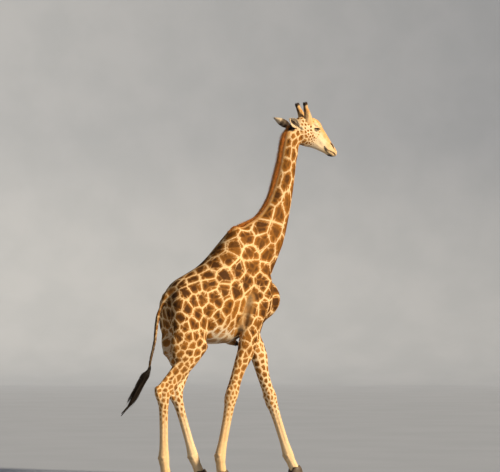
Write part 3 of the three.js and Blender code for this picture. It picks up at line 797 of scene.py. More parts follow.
class PatchCentres:
    """Centres of the coat's patches, each with its size, its long axis and how much it is stretched."""

    def __init__(self, co, normal, fields, ways, rows):
        self.co, self.normal = co[rows], normal[rows]
        self.size = fields["patch"][rows]
        self.line = ways[rows]
        self.squash = 1 - 1 / fields["stretch"][rows] ** 2

    def apart(self, co, normal, rows):
        """Squared distance to the centres in these rows, in patch sizes; places by centres."""
        step = co[:, None] - self.co[rows]
        along = (step * self.line[rows]).sum(axis=-1)
        gap = (step ** 2).sum(axis=-1) - self.squash[rows] * along ** 2
        turned = ((normal[:, None] - self.normal[rows]) ** 2).sum(axis=-1)
        return gap / self.size[rows] ** 2 + turned * NORMAL_SHARE ** 2

    def nearest(self, co, normal, count):
        """The nearest centres by plain distance, then in order of patch distance."""
        tree = KDTree(len(self.co))
        for index, place in enumerate(self.co):
            tree.insert(place, index)
        tree.balance()
        rows = np.array([[hit[1] for hit in tree.find_n(place, count)] for place in co])
        apart = self.apart(co, normal, rows)
        order = apart.argsort(axis=1)
        return np.take_along_axis(rows, order, axis=1), np.take_along_axis(apart, order, axis=1)


def scatter_seeds(co, normal, fields, ways):
    """Rows of places about one patch apart."""
    centres = PatchCentres(co, normal, fields, ways, np.arange(len(co)))
    free = np.ones(len(co), bool)
    seeds = []
    for index in range(len(co)):
        if free[index]:
            seeds.append(index)
            free &= centres.apart(co, normal, np.array([index]))[:, 0] > SEED_SPACING ** 2
    return np.array(seeds)


def mark_patches(co, normal, fields, ways):
    """For each vertex the distance to the nearest border between patches, and its patch's tone."""
    sample = RNG.choice(len(co), SAMPLE_SIZE, replace=False)
    small = {name: field[sample] for name, field in fields.items()}
    sample_co, sample_normal, sample_ways = co[sample], normal[sample], ways[sample]
    rows = scatter_seeds(sample_co, sample_normal, small, sample_ways)
    tree = KDTree(SAMPLE_SIZE)
    for index, place in enumerate(sample_co):
        tree.insert(place, index)
    tree.balance()
    for _ in range(SETTLING_ROUNDS):
        centres = PatchCentres(sample_co, sample_normal, small, sample_ways, rows)
        owner = centres.nearest(sample_co, sample_normal, 8)[0][:, 0]
        held = np.maximum(np.bincount(owner, minlength=len(rows)), 1)
        middle = [np.bincount(owner, sample_co[:, axis], len(rows)) / held for axis in range(3)]
        rows = np.array([tree.find(place)[1] for place in np.stack(middle, axis=1)])
    centres = PatchCentres(sample_co, sample_normal, small, sample_ways, np.unique(rows))
    nearest, apart = centres.nearest(co, normal, NEAR_PATCHES)
    own = nearest[:, :1]
    step = centres.co[nearest[:, 1:]] - centres.co[own]
    along = (step * centres.line[own]).sum(axis=-1) * centres.squash[own]
    between = np.linalg.norm(step - along[..., None] * centres.line[own], axis=2)
    edge = (apart[:, 1:] - apart[:, :1]) * centres.size[own] ** 2 / (2 * np.maximum(between, 0.01))
    return edge.min(axis=1), RNG.random(len(centres.co))[own[:, 0]]


# Where the coat is dark, pale or orange on the head: places along the head, above and out, and reach.
DARK_FACE = [
    ((0.655, 0.050, 0.0), 0.034, 0.7), ((0.590, 0.002, 0.0), 0.056, 0.95), ((0.625, 0.022, 0.0), 0.036, 0.9),
    ((0.650, 0.105, 0.0), 0.035, 0.5), ((0.600, 0.150, 0.0), 0.040, 0.35),
]
DARK_FACE_LINES = [
    ([(0.610, 0.006, 0.015), (0.549, 0.002, 0.040), (0.500, 0.014, 0.050), (0.458, 0.034, 0.056)],
     0.027, 0.66),
    ([(0.530, 0.030, 0.056), (0.474, 0.039, 0.057)], 0.021, 0.70),
    ([(0.652, 0.052, 0.000), (0.640, 0.052, 0.034), (0.600, 0.050, 0.053), (0.540, 0.043, 0.056),
      (0.480, 0.040, 0.056), (0.440, 0.048, 0.057)], 0.0125, 1.0),
    ([(0.512, 0.136, 0.050), (0.540, 0.126, 0.052), (0.572, 0.108, 0.050)], 0.015, 1.0),
    ([(0.518, 0.134, 0.038), (0.545, 0.122, 0.036), (0.566, 0.108, 0.034)], 0.020, 1.0),
    ([(0.566, 0.106, 0.051), (0.610, 0.090, 0.048)], 0.015, 0.5),
]
LIP_EDGE = [(0.625, 0.030, 0.036), (0.595, 0.030, 0.050), (0.556, 0.026, 0.056)]
PALE_FACE = [
    ((0.225, 0.108, 0.092), 0.070, 1.0), ((0.170, 0.185, 0.090), 0.045, 0.9),
    ((0.215, 0.200, 0.080), 0.036, 0.8), ((0.400, 0.060, 0.060), 0.110, 0.9),
    ((0.300, 0.000, 0.060), 0.160, 1.0), ((0.320, 0.120, 0.078), 0.070, 0.9),
    ((0.120, 0.080, 0.095), 0.120, 0.8), ((0.010, 0.130, 0.090), 0.090, 0.7),
]
ORANGE_FACE = [
    ((0.330, 0.235, 0.0), 0.125, 1.0), ((0.430, 0.200, 0.0), 0.115, 1.0), ((0.520, 0.165, 0.0), 0.095, 1.0),
    ((0.600, 0.120, 0.0), 0.075, 0.9), ((0.230, 0.285, 0.0), 0.125, 1.0), ((0.110, 0.260, 0.0), 0.130, 0.9),
    ((0.480, 0.110, 0.055), 0.060, 0.45), ((0.105, 0.225, 0.075), 0.085, 0.55),
    ((0.300, 0.200, 0.055), 0.062, 0.75), ((0.390, 0.172, 0.050), 0.062, 0.75),
    ((0.470, 0.145, 0.045), 0.050, 0.65),
]
# Dark at the poll between and behind the ears: partly black hair, partly painted shade under the ears.
POLL_HAIR_AND_SHADE = [(at(0.840, 0, 4.190), 0.080), (at(0.855, 0.045, 4.175), 0.055),
              (at(0.855, -0.045, 4.175), 0.055)]
SHEATH_TIP = at(0.098, 0, 1.590)


def face_mask(co, table):
    """How strongly each place lies in one of the listed areas of the face."""
    mask = np.zeros(len(co))
    for (s, h, out), reach, strength in table:
        for side in SIDES.values():
            gap = np.linalg.norm(co - on_head(s, h, side * out), axis=1)
            mask = np.maximum(mask, strength * ramp(gap, reach, reach * 0.35))
    return mask


MANE_LINE = [at(0.790, 0, 4.120), at(0.741, 0, 4.058), at(0.706, 0, 3.900), at(0.670, 0, 3.743),
             at(0.618, 0, 3.584), at(0.531, 0, 3.324), at(0.372, 0, 3.108), at(0.240, 0, 3.040),
             at(0.120, 0, 3.000), at(0.030, 0, 2.958)]


def ear_dark(co, normal, name):
    """Dark in the hollow of an ear and towards the root of its back; the rim and the tip stay pale."""
    base, line, opening, across = ear_axes(name)
    rel = co - base
    t = rel @ line / (line @ line)
    spread = np.abs(rel @ across) / np.interp(t, *np.transpose(EAR_PROFILE))
    faces_out = ramp(normal @ opening, -0.05, 0.25)
    hollow = faces_out * ramp(spread, 0.54, 0.26) * ramp(t, 0.90, 0.66)
    # On the back, the near-black root and the grey middle are painted shade, with some dark hair at the root.
    back = (1 - faces_out) * (0.62 * ramp(t, 0.72, 0.60) + 0.38 * ramp(t, 0.46, 0.28))
    return np.clip(0.85 * hollow + back, 0, 1)


def near(co, place, reach, core):
    """1 within core of a place, falling to 0 at reach."""
    return ramp(np.linalg.norm(co - place, axis=1), reach, core)


def shade_behind_elbows(co):
    """The hollows behind both elbows, where shade is painted in as a brown-grey strip without patches."""
    gaps = [along_line(co, by_elbow(leg, FOLD_HOLLOW))[0] for leg in FORELEGS]
    return ramp(np.minimum(*gaps), 0.098, 0.010)


def muzzle_mask(co):
    """Dark chin, mouth line and nostrils, with a paler edge to the lower lip."""
    dark = face_mask(co, DARK_FACE)
    for path, reach, share in DARK_FACE_LINES:
        for sign in SIDES.values():
            gap = along_line(co, [on_head(s, h, sign * out) for s, h, out in path])[0]
            dark = np.maximum(dark, share * ramp(gap, reach, reach * 0.4))
    for sign in SIDES.values():
        lip = along_line(co, [on_head(s, h, sign * out) for s, h, out in LIP_EDGE])[0]
        dark = dark * (1 - 0.75 * ramp(lip, 0.013, 0.006))
    return dark


def eye_rim_mask(co):
    """Dark round the eyes' slits and at their corners: the dark lid edges, widened into painted shade of the
    lids.
    """
    dark = np.zeros(len(co))
    for sign in SIDES.values():
        _, outside, along, above, top, bottom = slit_place(co, sign)
        rim = np.minimum(top - above, above - bottom)
        # The dark edge reaches well out from the slit, as painted shade of the lids.
        edge = ramp(rim, -0.0066, -0.0022) * ramp(np.abs(along), SLIT_HALF_LENGTH + 0.010, SLIT_HALF_LENGTH)
        corners = ramp(np.abs(above + 0.08 * np.abs(along)), 0.0042, 0.0016)
        corners = corners * ramp(np.abs(along), 0.046, 0.030)
        is_near = (outside > 0) & (np.hypot(along, above) < 0.055)
        dark = np.maximum(dark, np.maximum(edge, corners) * is_near)
    return dark


def dark_mask(co, normal, weights, elbow_shade):
    """Everything that is near-black: muzzle, sheath, tail, poll, eye rims and ears, and painted shade behind
    the elbows; some of the tail, poll, ear and eye-rim dark is painted shade too.
    """
    height = co[:, 2]
    # Painted shade: the side of the tail that faces the rear is darkened below the rump; the tail's lower
    # part is dark of its own.
    behind = ramp(-normal[:, 0], 0.1, 0.7) * ramp(height, 2.1, 1.9)
    tail = weights["tail"] * np.maximum(behind, ramp(height, 1.85, 1.55))
    # The painted shade behind the elbows darkens the coat here too.
    masks = [muzzle_mask(co), eye_rim_mask(co), 0.57 * elbow_shade, 0.6 * tail]
    masks.append(0.9 * near(co, SHEATH_TIP, 0.10, 0.05))
    masks += [0.9 * near(co, place, reach, reach * 0.45) for place, reach in POLL_HAIR_AND_SHADE]
    masks += [ear_dark(co, normal, name) * weights[f"ear_{name}"] for name in SIDES]
    return np.clip(np.max(masks, axis=0), 0, 1)


def coat_masks(co, normal, weights, fields):
    """How pale, dark and orange the coat is at each place, and how strong the patches are."""
    height = co[:, 2]
    legs = sum(weights[leg] for leg in LEGS)
    ears = weights["ear_right"] + weights["ear_left"]
    lean = -normal[:, 1] * np.sign(co[:, 1])  # 1 where the skin faces the animal's middle plane
    low = ramp(height, 1.75, 0.9)
    inner = ramp(lean, -0.05, 0.55) * legs * ramp(height, 1.95, 1.5)
    belly = ramp(-normal[:, 2], 0.10, 0.7) * weights["trunk"] * ramp(height, 1.90, 1.70)
    lower = weights["trunk"] * ramp(height, 1.84, 1.68)
    # Painted shade behind the elbows: the patches are dropped and the coat is darkened and warmed to
    # brown-grey.
    elbow_shade = shade_behind_elbows(co)
    crest = ramp(along_line(co, MANE_LINE)[0], 0.085, 0.045)
    bridge = face_mask(co, ORANGE_FACE)

    pale = (0.25 * inner + 0.9 * belly + 0.7 * lower) * (1 - elbow_shade)
    pale = np.clip(pale + 0.10 * low * legs + 0.2 * weights["neck"] + ears, 0, 1)
    pale = np.maximum(pale, 0.75 * face_mask(co, PALE_FACE))

    hind = sum(weights[leg] for leg in HINDLEGS)
    groin = inner * ramp(height, 1.25, 1.55) * (0.35 + 0.65 * hind)
    strength = fields["strength"] * (1 - 0.25 * inner - 0.6 * groin) * (1 - 0.3 * belly)
    strength = strength * (1 - 0.85 * elbow_shade) * (1 - 0.5 * lower)
    strength = strength * (1 - 0.6 * legs * ramp(height, 1.05, 0.45))
    strength = strength * (1 - 0.95 * bridge) * (1 - crest)
    for sign in SIDES.values():
        strength = strength * (1 - 0.9 * near(co, eye_centre(sign), 0.070, 0.050))

    orange = bridge + crest + 0.25 * legs * low * (1 - inner) + 0.75 * elbow_shade
    return {"pale": np.clip(pale, 0, 1), "dark": dark_mask(co, normal, weights, elbow_shade),
            "orange": np.clip(orange, 0, 1), "strength": np.clip(strength, 0, 1)}


def laid_flat(ways, normal):
    """Ways turned to lie along the skin."""
    return unit(ways - normal * (ways * normal).sum(axis=1, keepdims=True))


FIELD_ROUNDS = 12
LIE_DROP = 0.55  # how much the coat of the trunk leans down from the body's line
COMB_SHARE = 0.88  # how much the grain is stretched along the lie of the hair
NOTCH_DEPTH = 0.30  # how far the notches reach in from a patch's border, in patch sizes


def paint_fields(mesh):
    """Everything that the coat's colours and hairs read: the markings, masks and the lie of the hair."""
    co, normal, pairs = positions(mesh), normals(mesh), edge_pairs(mesh)
    weights, fields, ways = region_map(co)
    border, tone = mark_patches(co, normal, fields, ways)
    shade = coat_masks(co, normal, weights, fields)
    head = weights["head"]
    missing = 0.9 * ramp(tone, 0.24, 0.18)  # some of the head's small patches are left out
    ahead = 0.85 * ramp(head_coordinates(co)[0], 0.235, 0.320)  # and there are none ahead of the eye
    shade["strength"] *= (1 - head * missing) * (1 - head * ahead)
    # Painted shade: the patches of the upper rump are darkened.
    rump_shade = ramp(co[:, 0], -0.25, -0.55) * ramp(co[:, 2], 2.05, 2.30)
    legs = sum(weights[leg] for leg in LEGS)
    tone = tone * 0.8 + 0.7 * rump_shade - 0.30 * weights["neck"] + 0.8 * head + 0.45 * legs
    shade |= {"border": border, "patch_tone": tone, "pale_line": fields["pale_line"]}
    shade["notch"] = fields["pale_line"] / (NOTCH_DEPTH * fields["patch"])
    trunk = weights["trunk"][:, None]
    lie = laid_flat(ways + trunk * np.array([0, 0, -LIE_DROP]), normal)
    lie = laid_flat(relax(lie, pairs, FIELD_ROUNDS), normal)
    along = ((co - nearest_axis_places(co, weights)) * lie).sum(axis=1, keepdims=True)
    comb = co - COMB_SHARE * lie * along
    return shade, lie, comb, weights


def nearest_axis_places(co, weights):
    """Blend of the places on the body lines nearest to each vertex, as local origins."""
    blend = 0
    for name, knots in BODY_LINES.items():
        line = np.array([row[0] for row in knots])
        knot = along_line(co, line)[1]
        index = np.minimum(knot.astype(int), len(line) - 2)
        place = line[index] + (knot - index)[:, None] * (line[index + 1] - line[index])
        blend = blend + weights[name][:, None] * place
    return blend


# ---------------------------------------------------------------- unwrap

UNWRAP_ANGLE = math.radians(66)
ISLAND_GAP = 0.002


def unwrap(obj):
    """Unwraps an object's own shape into its bake map."""
    obj.data.uv_layers.new(name=BAKE_MAP)
    bpy.ops.object.select_all(action="DESELECT")
    obj.select_set(True)
    bpy.context.view_layer.objects.active = obj
    bpy.ops.object.mode_set(mode="EDIT")
    bpy.ops.mesh.select_all(action="SELECT")
    bpy.ops.uv.smart_project(angle_limit=UNWRAP_ANGLE, island_margin=ISLAND_GAP, area_weight=0.5)
    bpy.ops.object.mode_set(mode="OBJECT")


# ---------------------------------------------------------------- hair as thin solid mesh

BAKE_PATCH = 0.003
BAKE_MAP = "OFBake"


class SkinPlaces:
    """Roots for hair: places on the skin with all that the skin knows there."""

    def __init__(self, mesh, shade, lie):
        mesh.calc_loop_triangles()
        corners = read_rows(mesh.loop_triangles, "vertices", 3, np.int32)
        loops = read_rows(mesh.loop_triangles, "loops", 3, np.int32)
        co = positions(mesh)
        a, b, c = (co[corners[:, k]] for k in range(3))
        self.area = np.linalg.norm(np.cross(b - a, c - a), axis=1) / 2
        self.corners = corners
        self.loops = loops
        self.co, self.normal, self.lie, self.shade = co, normals(mesh), lie, shade
        self.uv = read_rows(mesh.uv_layers[BAKE_MAP].uv, "vector", 2).astype(float)

    def pick(self, density, **extra):
        """Random roots, with density in hairs to the square metre, and extra values, at each vertex."""
        wanted = density[self.corners].mean(axis=1) * self.area
        count = int(round(wanted.sum()))
        total = np.cumsum(wanted)
        faces = np.searchsorted(total, (np.arange(count) + RNG.random(count)) / count * total[-1])
        faces = np.minimum(faces, len(wanted) - 1)
        u, v = RNG.random(count), RNG.random(count)
        flip = u + v > 1
        u[flip], v[flip] = 1 - u[flip], 1 - v[flip]
        share = np.stack([1 - u - v, u, v], axis=1)

        def mixed(rows, corners=self.corners[faces]):
            """Values at the roots from the values at their triangles' corners."""
            weight = share[..., None] if rows.ndim == 2 else share
            return (rows[corners] * weight).sum(axis=1)

        roots = {"co": mixed(self.co), "normal": unit(mixed(self.normal)), "lie": unit(mixed(self.lie))}
        roots["uv"] = mixed(self.uv, self.loops[faces])
        roots["shade"] = {name: mixed(values) for name, values in self.shade.items()}
        return roots | {name: mixed(values) for name, values in extra.items()}


def chosen(roots, rows):
    """Only some of the roots."""
    picked = {name: values[rows] for name, values in roots.items() if name != "shade"}
    picked["shade"] = {name: values[rows] for name, values in roots["shade"].items()}
    return picked


ROOT_DEPTH = 0.0012  # how far a tuft's root reaches into the skin


def hair_mesh(name, roots, length, width, rise, curl=0.0, joints=1, spread=0.2, thickness=0.35,
              follow=0.0):
    """Tapered three-sided tufts, each rooted in the skin and lying along the coat.

    rise is the slope at which a tuft leaves the skin, curl bends it back down, and joints
    is how many bends it has; all may be one number or one for each root. follow is how
    much a tuft is shaded as the skin that it lies on.
    """
    count = len(roots["co"])
    normal = roots["normal"]
    turn = RNG.normal(0, spread, count)[:, None]
    side = np.cross(normal, roots["lie"])
    lie = unit(roots["lie"] + side * turn)
    side = np.cross(normal, lie)
    size = np.broadcast_to(length, (count,)) * RNG.uniform(0.75, 1.25, count)
    girth = np.broadcast_to(width, (count,)) * RNG.uniform(0.8, 1.2, count)
    slope = np.broadcast_to(rise, (count,))[:, None]
    bend = np.broadcast_to(curl, (count,))[:, None]
    rings = []
    for joint in range(joints + 1):
        t = joint / joints
        place = roots["co"] + size[:, None] * (lie * t + normal * (slope * t - bend * t * t))
        if joint == joints:
            rings.append(place[:, None])
            continue
        wide = (girth * (1 - 0.55 * t ** 1.5))[:, None]
        sunk = normal * (-ROOT_DEPTH if joint == 0 else 0)
        rings.append(np.stack([place + side * wide / 2 + sunk, place + normal * wide * thickness,
                               place - side * wide / 2 + sunk], axis=1))
    verts = np.concatenate(rings, axis=1)
    obj = tuft_object(name, verts, roots, joints)
    if follow:
        own = normals(obj.data)
        skin_way = np.repeat(normal, verts.shape[1], axis=0)
        obj.data.normals_split_custom_set_from_vertices(unit(own * (1 - follow) + skin_way * follow))
    return obj


def tuft_faces(joints):
    """Triangles of one tuft of three-sided rings that ends in a point."""
    faces = [[0, 2, 1]]
    for ring in range(joints - 1):
        base = ring * 3
        for corner in range(3):
            a, b = base + corner, base + (corner + 1) % 3
            faces += [[a, b, b + 3], [a, b + 3, a + 3]]
    base = (joints - 1) * 3
    tip = joints * 3
    for corner in range(3):
        faces.append([base + corner, base + (corner + 1) % 3, tip])
    return np.array(faces)


def tuft_object(name, verts, roots, joints):
    """One mesh object from the corners of many tufts, with their shades, roots and bake patches."""
    count, corners, _ = verts.shape
    faces = tuft_faces(joints)
    all_faces = (faces[None] + (np.arange(count) * corners)[:, None, None]).reshape(-1, 3)
    mesh = mesh_from(name, verts.reshape(-1, 3), all_faces)
    for field, values in roots["shade"].items():
        set_attribute(mesh, field, np.repeat(values, corners))
    set_attribute(mesh, "root", np.repeat(roots["co"], corners, axis=0))
    heights = np.append(np.repeat(np.arange(joints) / joints, 3), 1.0)
    set_attribute(mesh, "tip", np.tile(heights, count))
    across = np.append(np.tile([-0.5, 0.0, 0.5], joints), 0.0)
    layout = np.stack([across, heights - 0.5], axis=1) * BAKE_PATCH
    uv = roots["uv"][:, None] + layout[None]
    uv_layer = mesh.uv_layers.new(name=BAKE_MAP)
    uv_layer.uv.foreach_set("vector", uv.reshape(-1, 2)[all_faces.ravel()].astype(np.float32).ravel())
    uv_layer.active_render = True
    return add_object(name, mesh)


# ---------------------------------------------------------------- shader groups


class Nodes:
    """Short ways to add nodes to a material or a group."""

    def __init__(self, tree):
        self.tree = tree

    def add(self, kind, inputs=None, **settings):
        """A new node with these settings and inputs."""
        node = self.tree.nodes.new(kind)
        for name, value in settings.items():
            setattr(node, name, value)
        for key, value in (inputs or {}).items():
            self.put(node.inputs[key], value)
        return node

    def put(self, socket, value):
        """Links a socket, or sets its value."""
        if isinstance(value, bpy.types.NodeSocket):
            self.tree.links.new(value, socket)
        else:
            socket.default_value = value

    def math(self, operation, *values):
        """The result of one sum."""
        node = self.add("ShaderNodeMath", operation=operation)
        for socket, value in zip(node.inputs, values):
            self.put(socket, value)
        return node.outputs[0]

    def blend(self, factor, first, second):
        """Colour from first to second as the factor goes from 0 to 1."""
        node = self.add("ShaderNodeMix", data_type="RGBA")
        self.put(node.inputs["Factor"], factor)
        self.put(node.inputs["A"], first)
        self.put(node.inputs["B"], second)
        return node.outputs["Result"]

    def span(self, value, low, high, to_low=0.0, to_high=1.0, soft=True):
        """The value's place between low and high, as a number from to_low to to_high."""
        node = self.add("ShaderNodeMapRange", interpolation_type="SMOOTHSTEP" if soft else "LINEAR")
        for key, number in (("Value", value), ("From Min", low), ("From Max", high),
                            ("To Min", to_low), ("To Max", to_high)):
            self.put(node.inputs[key], number)
        return node.outputs["Result"]

    def field(self, name):
        """A number stored on the mesh."""
        return self.add("ShaderNodeAttribute", attribute_name=name).outputs["Fac"]

    def place(self, name="root"):
        """A vector stored on the mesh."""
        return self.add("ShaderNodeAttribute", attribute_name=name).outputs["Vector"]

    def noise(self, vector, scale, detail=2.0, rough=0.5):
        """Smooth noise from 0 to 1 over a vector."""
        node = self.add("ShaderNodeTexNoise", {"Vector": vector, "Scale": scale, "Detail": detail,
                                               "Roughness": rough})
        return node.outputs["Fac"]


def colour(red, green, blue):
    """An opaque colour."""
    return (red, green, blue, 1.0)


CREAM = colour(0.835, 0.625, 0.365)
PALE_CREAM = colour(0.79, 0.685, 0.53)
PATCH_DARK = colour(0.068, 0.024, 0.003)
PATCH_WARM = colour(0.32, 0.125, 0.015)
PATCH_RIM = colour(0.45, 0.205, 0.044)
ORANGE_TAN = colour(0.62, 0.33, 0.105)
MUZZLE = colour(0.050, 0.032, 0.024)
SUN_BLEACHED = colour(0.66, 0.40, 0.17)
CRACK_SPACING = 0.125
CRACK_SHARPNESS = 1.4
COAT_LOOK = {"Raggedness": 0.009, "Mottle": 0.9}  # of the patches' edges, and inside the patches
GRAIN_LOOK = {"Streak Scale": 260.0, "Wave Scale": 70.0}


def group_tree(name, inputs, outputs):
    """A new shader group: its nodes, the numbers it is given, and its outputs by name and kind."""
    tree = bpy.data.node_groups.new(name, "ShaderNodeTree")
    for key in inputs:
        tree.interface.new_socket(key, in_out="INPUT", socket_type="NodeSocketFloat")
    for key, kind in outputs.items():
        tree.interface.new_socket(key, in_out="OUTPUT", socket_type=kind)
    return Nodes(tree), tree.nodes.new("NodeGroupInput").outputs, tree.nodes.new("NodeGroupOutput").inputs


def coat_colour_group():
    """Patches with notched edges, pale lines between them, and the shades of face, belly and legs."""
    n, given, result = group_tree("coat colours", COAT_LOOK, {"Color": "NodeSocketColor"})
    root = n.place()
    wander = n.add("ShaderNodeTexNoise", {"Vector": root, "Scale": 13.0, "Detail": 0.6})
    bent = n.add("ShaderNodeVectorMath", operation="MULTIPLY_ADD")
    n.put(bent.inputs[0], wander.outputs["Color"])
    n.put(bent.inputs[1], (0.035, 0.035, 0.035))
    n.put(bent.inputs[2], root)
    cracks = n.add("ShaderNodeTexVoronoi", {"Vector": bent.outputs[0], "Scale": 1 / CRACK_SPACING},
                   feature="DISTANCE_TO_EDGE")
    crack = n.math("MULTIPLY", cracks.outputs["Distance"], CRACK_SPACING * CRACK_SHARPNESS)
    border = n.field("border")
    jagged = n.math("SUBTRACT", n.noise(root, 30.0), 0.5)
    ragged = n.math("MULTIPLY_ADD", jagged, given["Raggedness"], border)
    notched = n.math("MULTIPLY_ADD", border, n.field("notch"), crack)
    depth = n.math("MINIMUM", ragged, notched)
    strength = n.field("strength")
    line = n.math("MULTIPLY", n.field("pale_line"), n.span(n.noise(root, 7.0, 1.0), 0.3, 0.7, 0.62, 1.10))
    line = n.math("MULTIPLY_ADD", n.math("SUBTRACT", 1.0, strength), 0.010, line)
    inside = n.math("SUBTRACT", depth, line)
    patch = n.math("MULTIPLY", n.span(inside, -0.0025, 0.0035), n.span(strength, 0.02, 0.5))
    deep = n.span(n.math("SUBTRACT", ragged, line), 0.004, 0.045)
    deep = n.math("MULTIPLY", deep, n.span(crack, 0.0, 0.030, 0.55, 1.0))
    tone = n.field("patch_tone")
    mottle = n.noise(root, 24.0, 4.0, 0.6)
    darker = n.math("SUBTRACT", tone, 0.5)
    mottled = n.math("SUBTRACT", mottle, 0.5)
    dark_share = n.math("MULTIPLY_ADD", darker, 0.45, deep)
    dark_share = n.math("MULTIPLY_ADD", mottled, given["Mottle"], dark_share)
    brown = n.blend(n.span(dark_share, 0.0, 1.0, soft=False), PATCH_WARM, PATCH_DARK)
    brown = n.blend(n.span(inside, 0.0, 0.007), PATCH_RIM, brown)
    firm = n.math("MULTIPLY_ADD", n.math("MAXIMUM", darker, 0.0), 0.5, strength)
    brown = n.blend(n.span(firm, 0.95, 0.3), brown, PATCH_RIM)
    ground = n.blend(n.field("pale"), CREAM, PALE_CREAM)
    ground = n.blend(n.span(n.noise(root, 5.0), 0.3, 0.75, 0.0, 0.35), ground, SUN_BLEACHED)
    coat = n.blend(patch, ground, brown)
    orange = n.math("MULTIPLY", n.field("orange"), n.span(mottle, 0.30, 0.65, 0.55, 1.05))
    coat = n.blend(orange, coat, ORANGE_TAN)
    dark = n.math("MULTIPLY_ADD", mottled, 0.4, n.field("dark"))
    coat = n.blend(n.span(dark, 0.15, 0.75), coat, MUZZLE)
    n.put(result["Color"], coat)
    return n.tree


def hair_grain_group():
    """Fine streaks along the lie of the hair, as a height and as a lightness."""
    outputs = {"Height": "NodeSocketFloat", "Light": "NodeSocketFloat"}
    n, given, result = group_tree("hair grain", GRAIN_LOOK, outputs)
    comb = n.place("comb")
    streaks = n.noise(comb, given["Streak Scale"], 3.0, 0.65)
    waves = n.noise(comb, given["Wave Scale"])
    n.put(result["Height"], n.math("MULTIPLY_ADD", waves, 0.6, streaks))
    n.put(result["Light"], n.span(streaks, 0.3, 0.7, 0.86, 1.10))
    return n.tree


def new_material(name, **values):
    """A material with its Principled shader, whose even values are set on its own sockets."""
    material = bpy.data.materials.new(name)
    material.use_nodes = True
    shader = material.node_tree.nodes["Principled BSDF"]
    for socket, value in values.items():
        shader.inputs[socket.replace("_", " ")].default_value = value
    return material, Nodes(material.node_tree), shader


def lightened(n, tint, light):
    """A colour made lighter or darker by a factor."""
    node = n.add("ShaderNodeMix", data_type="RGBA", blend_type="MULTIPLY")
    n.put(node.inputs["Factor"], 1.0)
    n.put(node.inputs["A"], tint)
    grey = n.add("ShaderNodeCombineColor")
    for channel in ("Red", "Green", "Blue"):
        n.put(grey.inputs[channel], light)
    n.put(node.inputs["B"], grey.outputs["Color"])
    return node.outputs["Result"]


def skin_material(colours, grain):
    """Short coat over skin, with a fine relief along the lie of the hair."""
    material, n, shader = new_material("short coat over skin", Specular_IOR_Level=0.22)
    coat = n.add("ShaderNodeGroup", COAT_LOOK, node_tree=colours)
    streaks = n.add("ShaderNodeGroup", GRAIN_LOOK, node_tree=grain)
    relief = streaks.outputs["Height"]
    n.put(shader.inputs["Base Color"], lightened(n, coat.outputs["Color"], streaks.outputs["Light"]))
    bump = n.add("ShaderNodeBump", {"Strength": 0.35, "Distance": 0.0015, "Height": relief})
    n.put(shader.inputs["Normal"], bump.outputs["Normal"])
    dry = n.span(relief, 0.4, 1.2, 0.72, 0.86)
    n.put(shader.inputs["Roughness"], n.math("MULTIPLY_ADD", n.field("dark"), -0.25, dry))
    return material


def coat_material(colours):
    """Hair of the coat: the skin's colours, darker at the root."""
    material, n, shader = new_material("coat hair", Specular_IOR_Level=0.22)
    coat = n.add("ShaderNodeGroup", COAT_LOOK, node_tree=colours)
    tip = n.field("tip")
    light = n.math("MULTIPLY_ADD", n.noise(n.place(), 900.0, 1.0), 0.30, n.span(tip, 0.0, 1.0, 0.78, 0.96))
    n.put(shader.inputs["Base Color"], lightened(n, coat.outputs["Color"], light))
    n.put(shader.inputs["Roughness"], n.span(tip, 0.0, 1.0, 0.85, 0.70))
    return material


# ---------------------------------------------------------------- studio and camera

FRAME_WIDTH = 500  # pixels
FOCAL_PIXELS = 2550
AIM_SHIFT = 18  # pixels that the camera is turned to the right of the giraffe's middle
SENSOR = 36.0
CAMERA_AT = (-17.6576, -24.2705, 1.70)
CAMERA_AZIMUTH = math.radians(36)
CAMERA_TURN = -math.atan(AIM_SHIFT / FOCAL_PIXELS)
CAMERA_TILT = math.radians(2.2233)


def way_towards(heading, rise):
    """The way that points along a heading, counted from +X towards +Y, and up by an angle."""
    return Vector((math.cos(heading) * math.cos(rise), math.sin(heading) * math.cos(rise), math.sin(rise)))


def make_camera():
    """A long lens at a person's height, behind the animal's right side."""
    data = bpy.data.cameras.new("camera")
    data.sensor_fit = "HORIZONTAL"
    data.sensor_width = SENSOR
    data.lens = FOCAL_PIXELS / FRAME_WIDTH * SENSOR
    data.clip_end = 300
    camera = bpy.data.objects.new("camera", data)
    bpy.context.collection.objects.link(camera)
    heading = math.atan2(math.cos(CAMERA_AZIMUTH), math.sin(CAMERA_AZIMUTH)) + CAMERA_TURN
    look = way_towards(heading, CAMERA_TILT)
    camera.location = CAMERA_AT
    camera.rotation_euler = look.to_track_quat("-Z", "Y").to_euler()
    bpy.context.scene.camera = camera


FLOOR_RADIUS = 55.0
FLOOR_SIDES = 96
SWEEP_RADIUS = 9.0
SWEEP_STEPS = 16
SWEEP_HEIGHT = 9.0
FLOOR_GREY = colour(0.345, 0.40, 0.515)
FLOOR_LIGHT_GREY = colour(0.37, 0.425, 0.545)


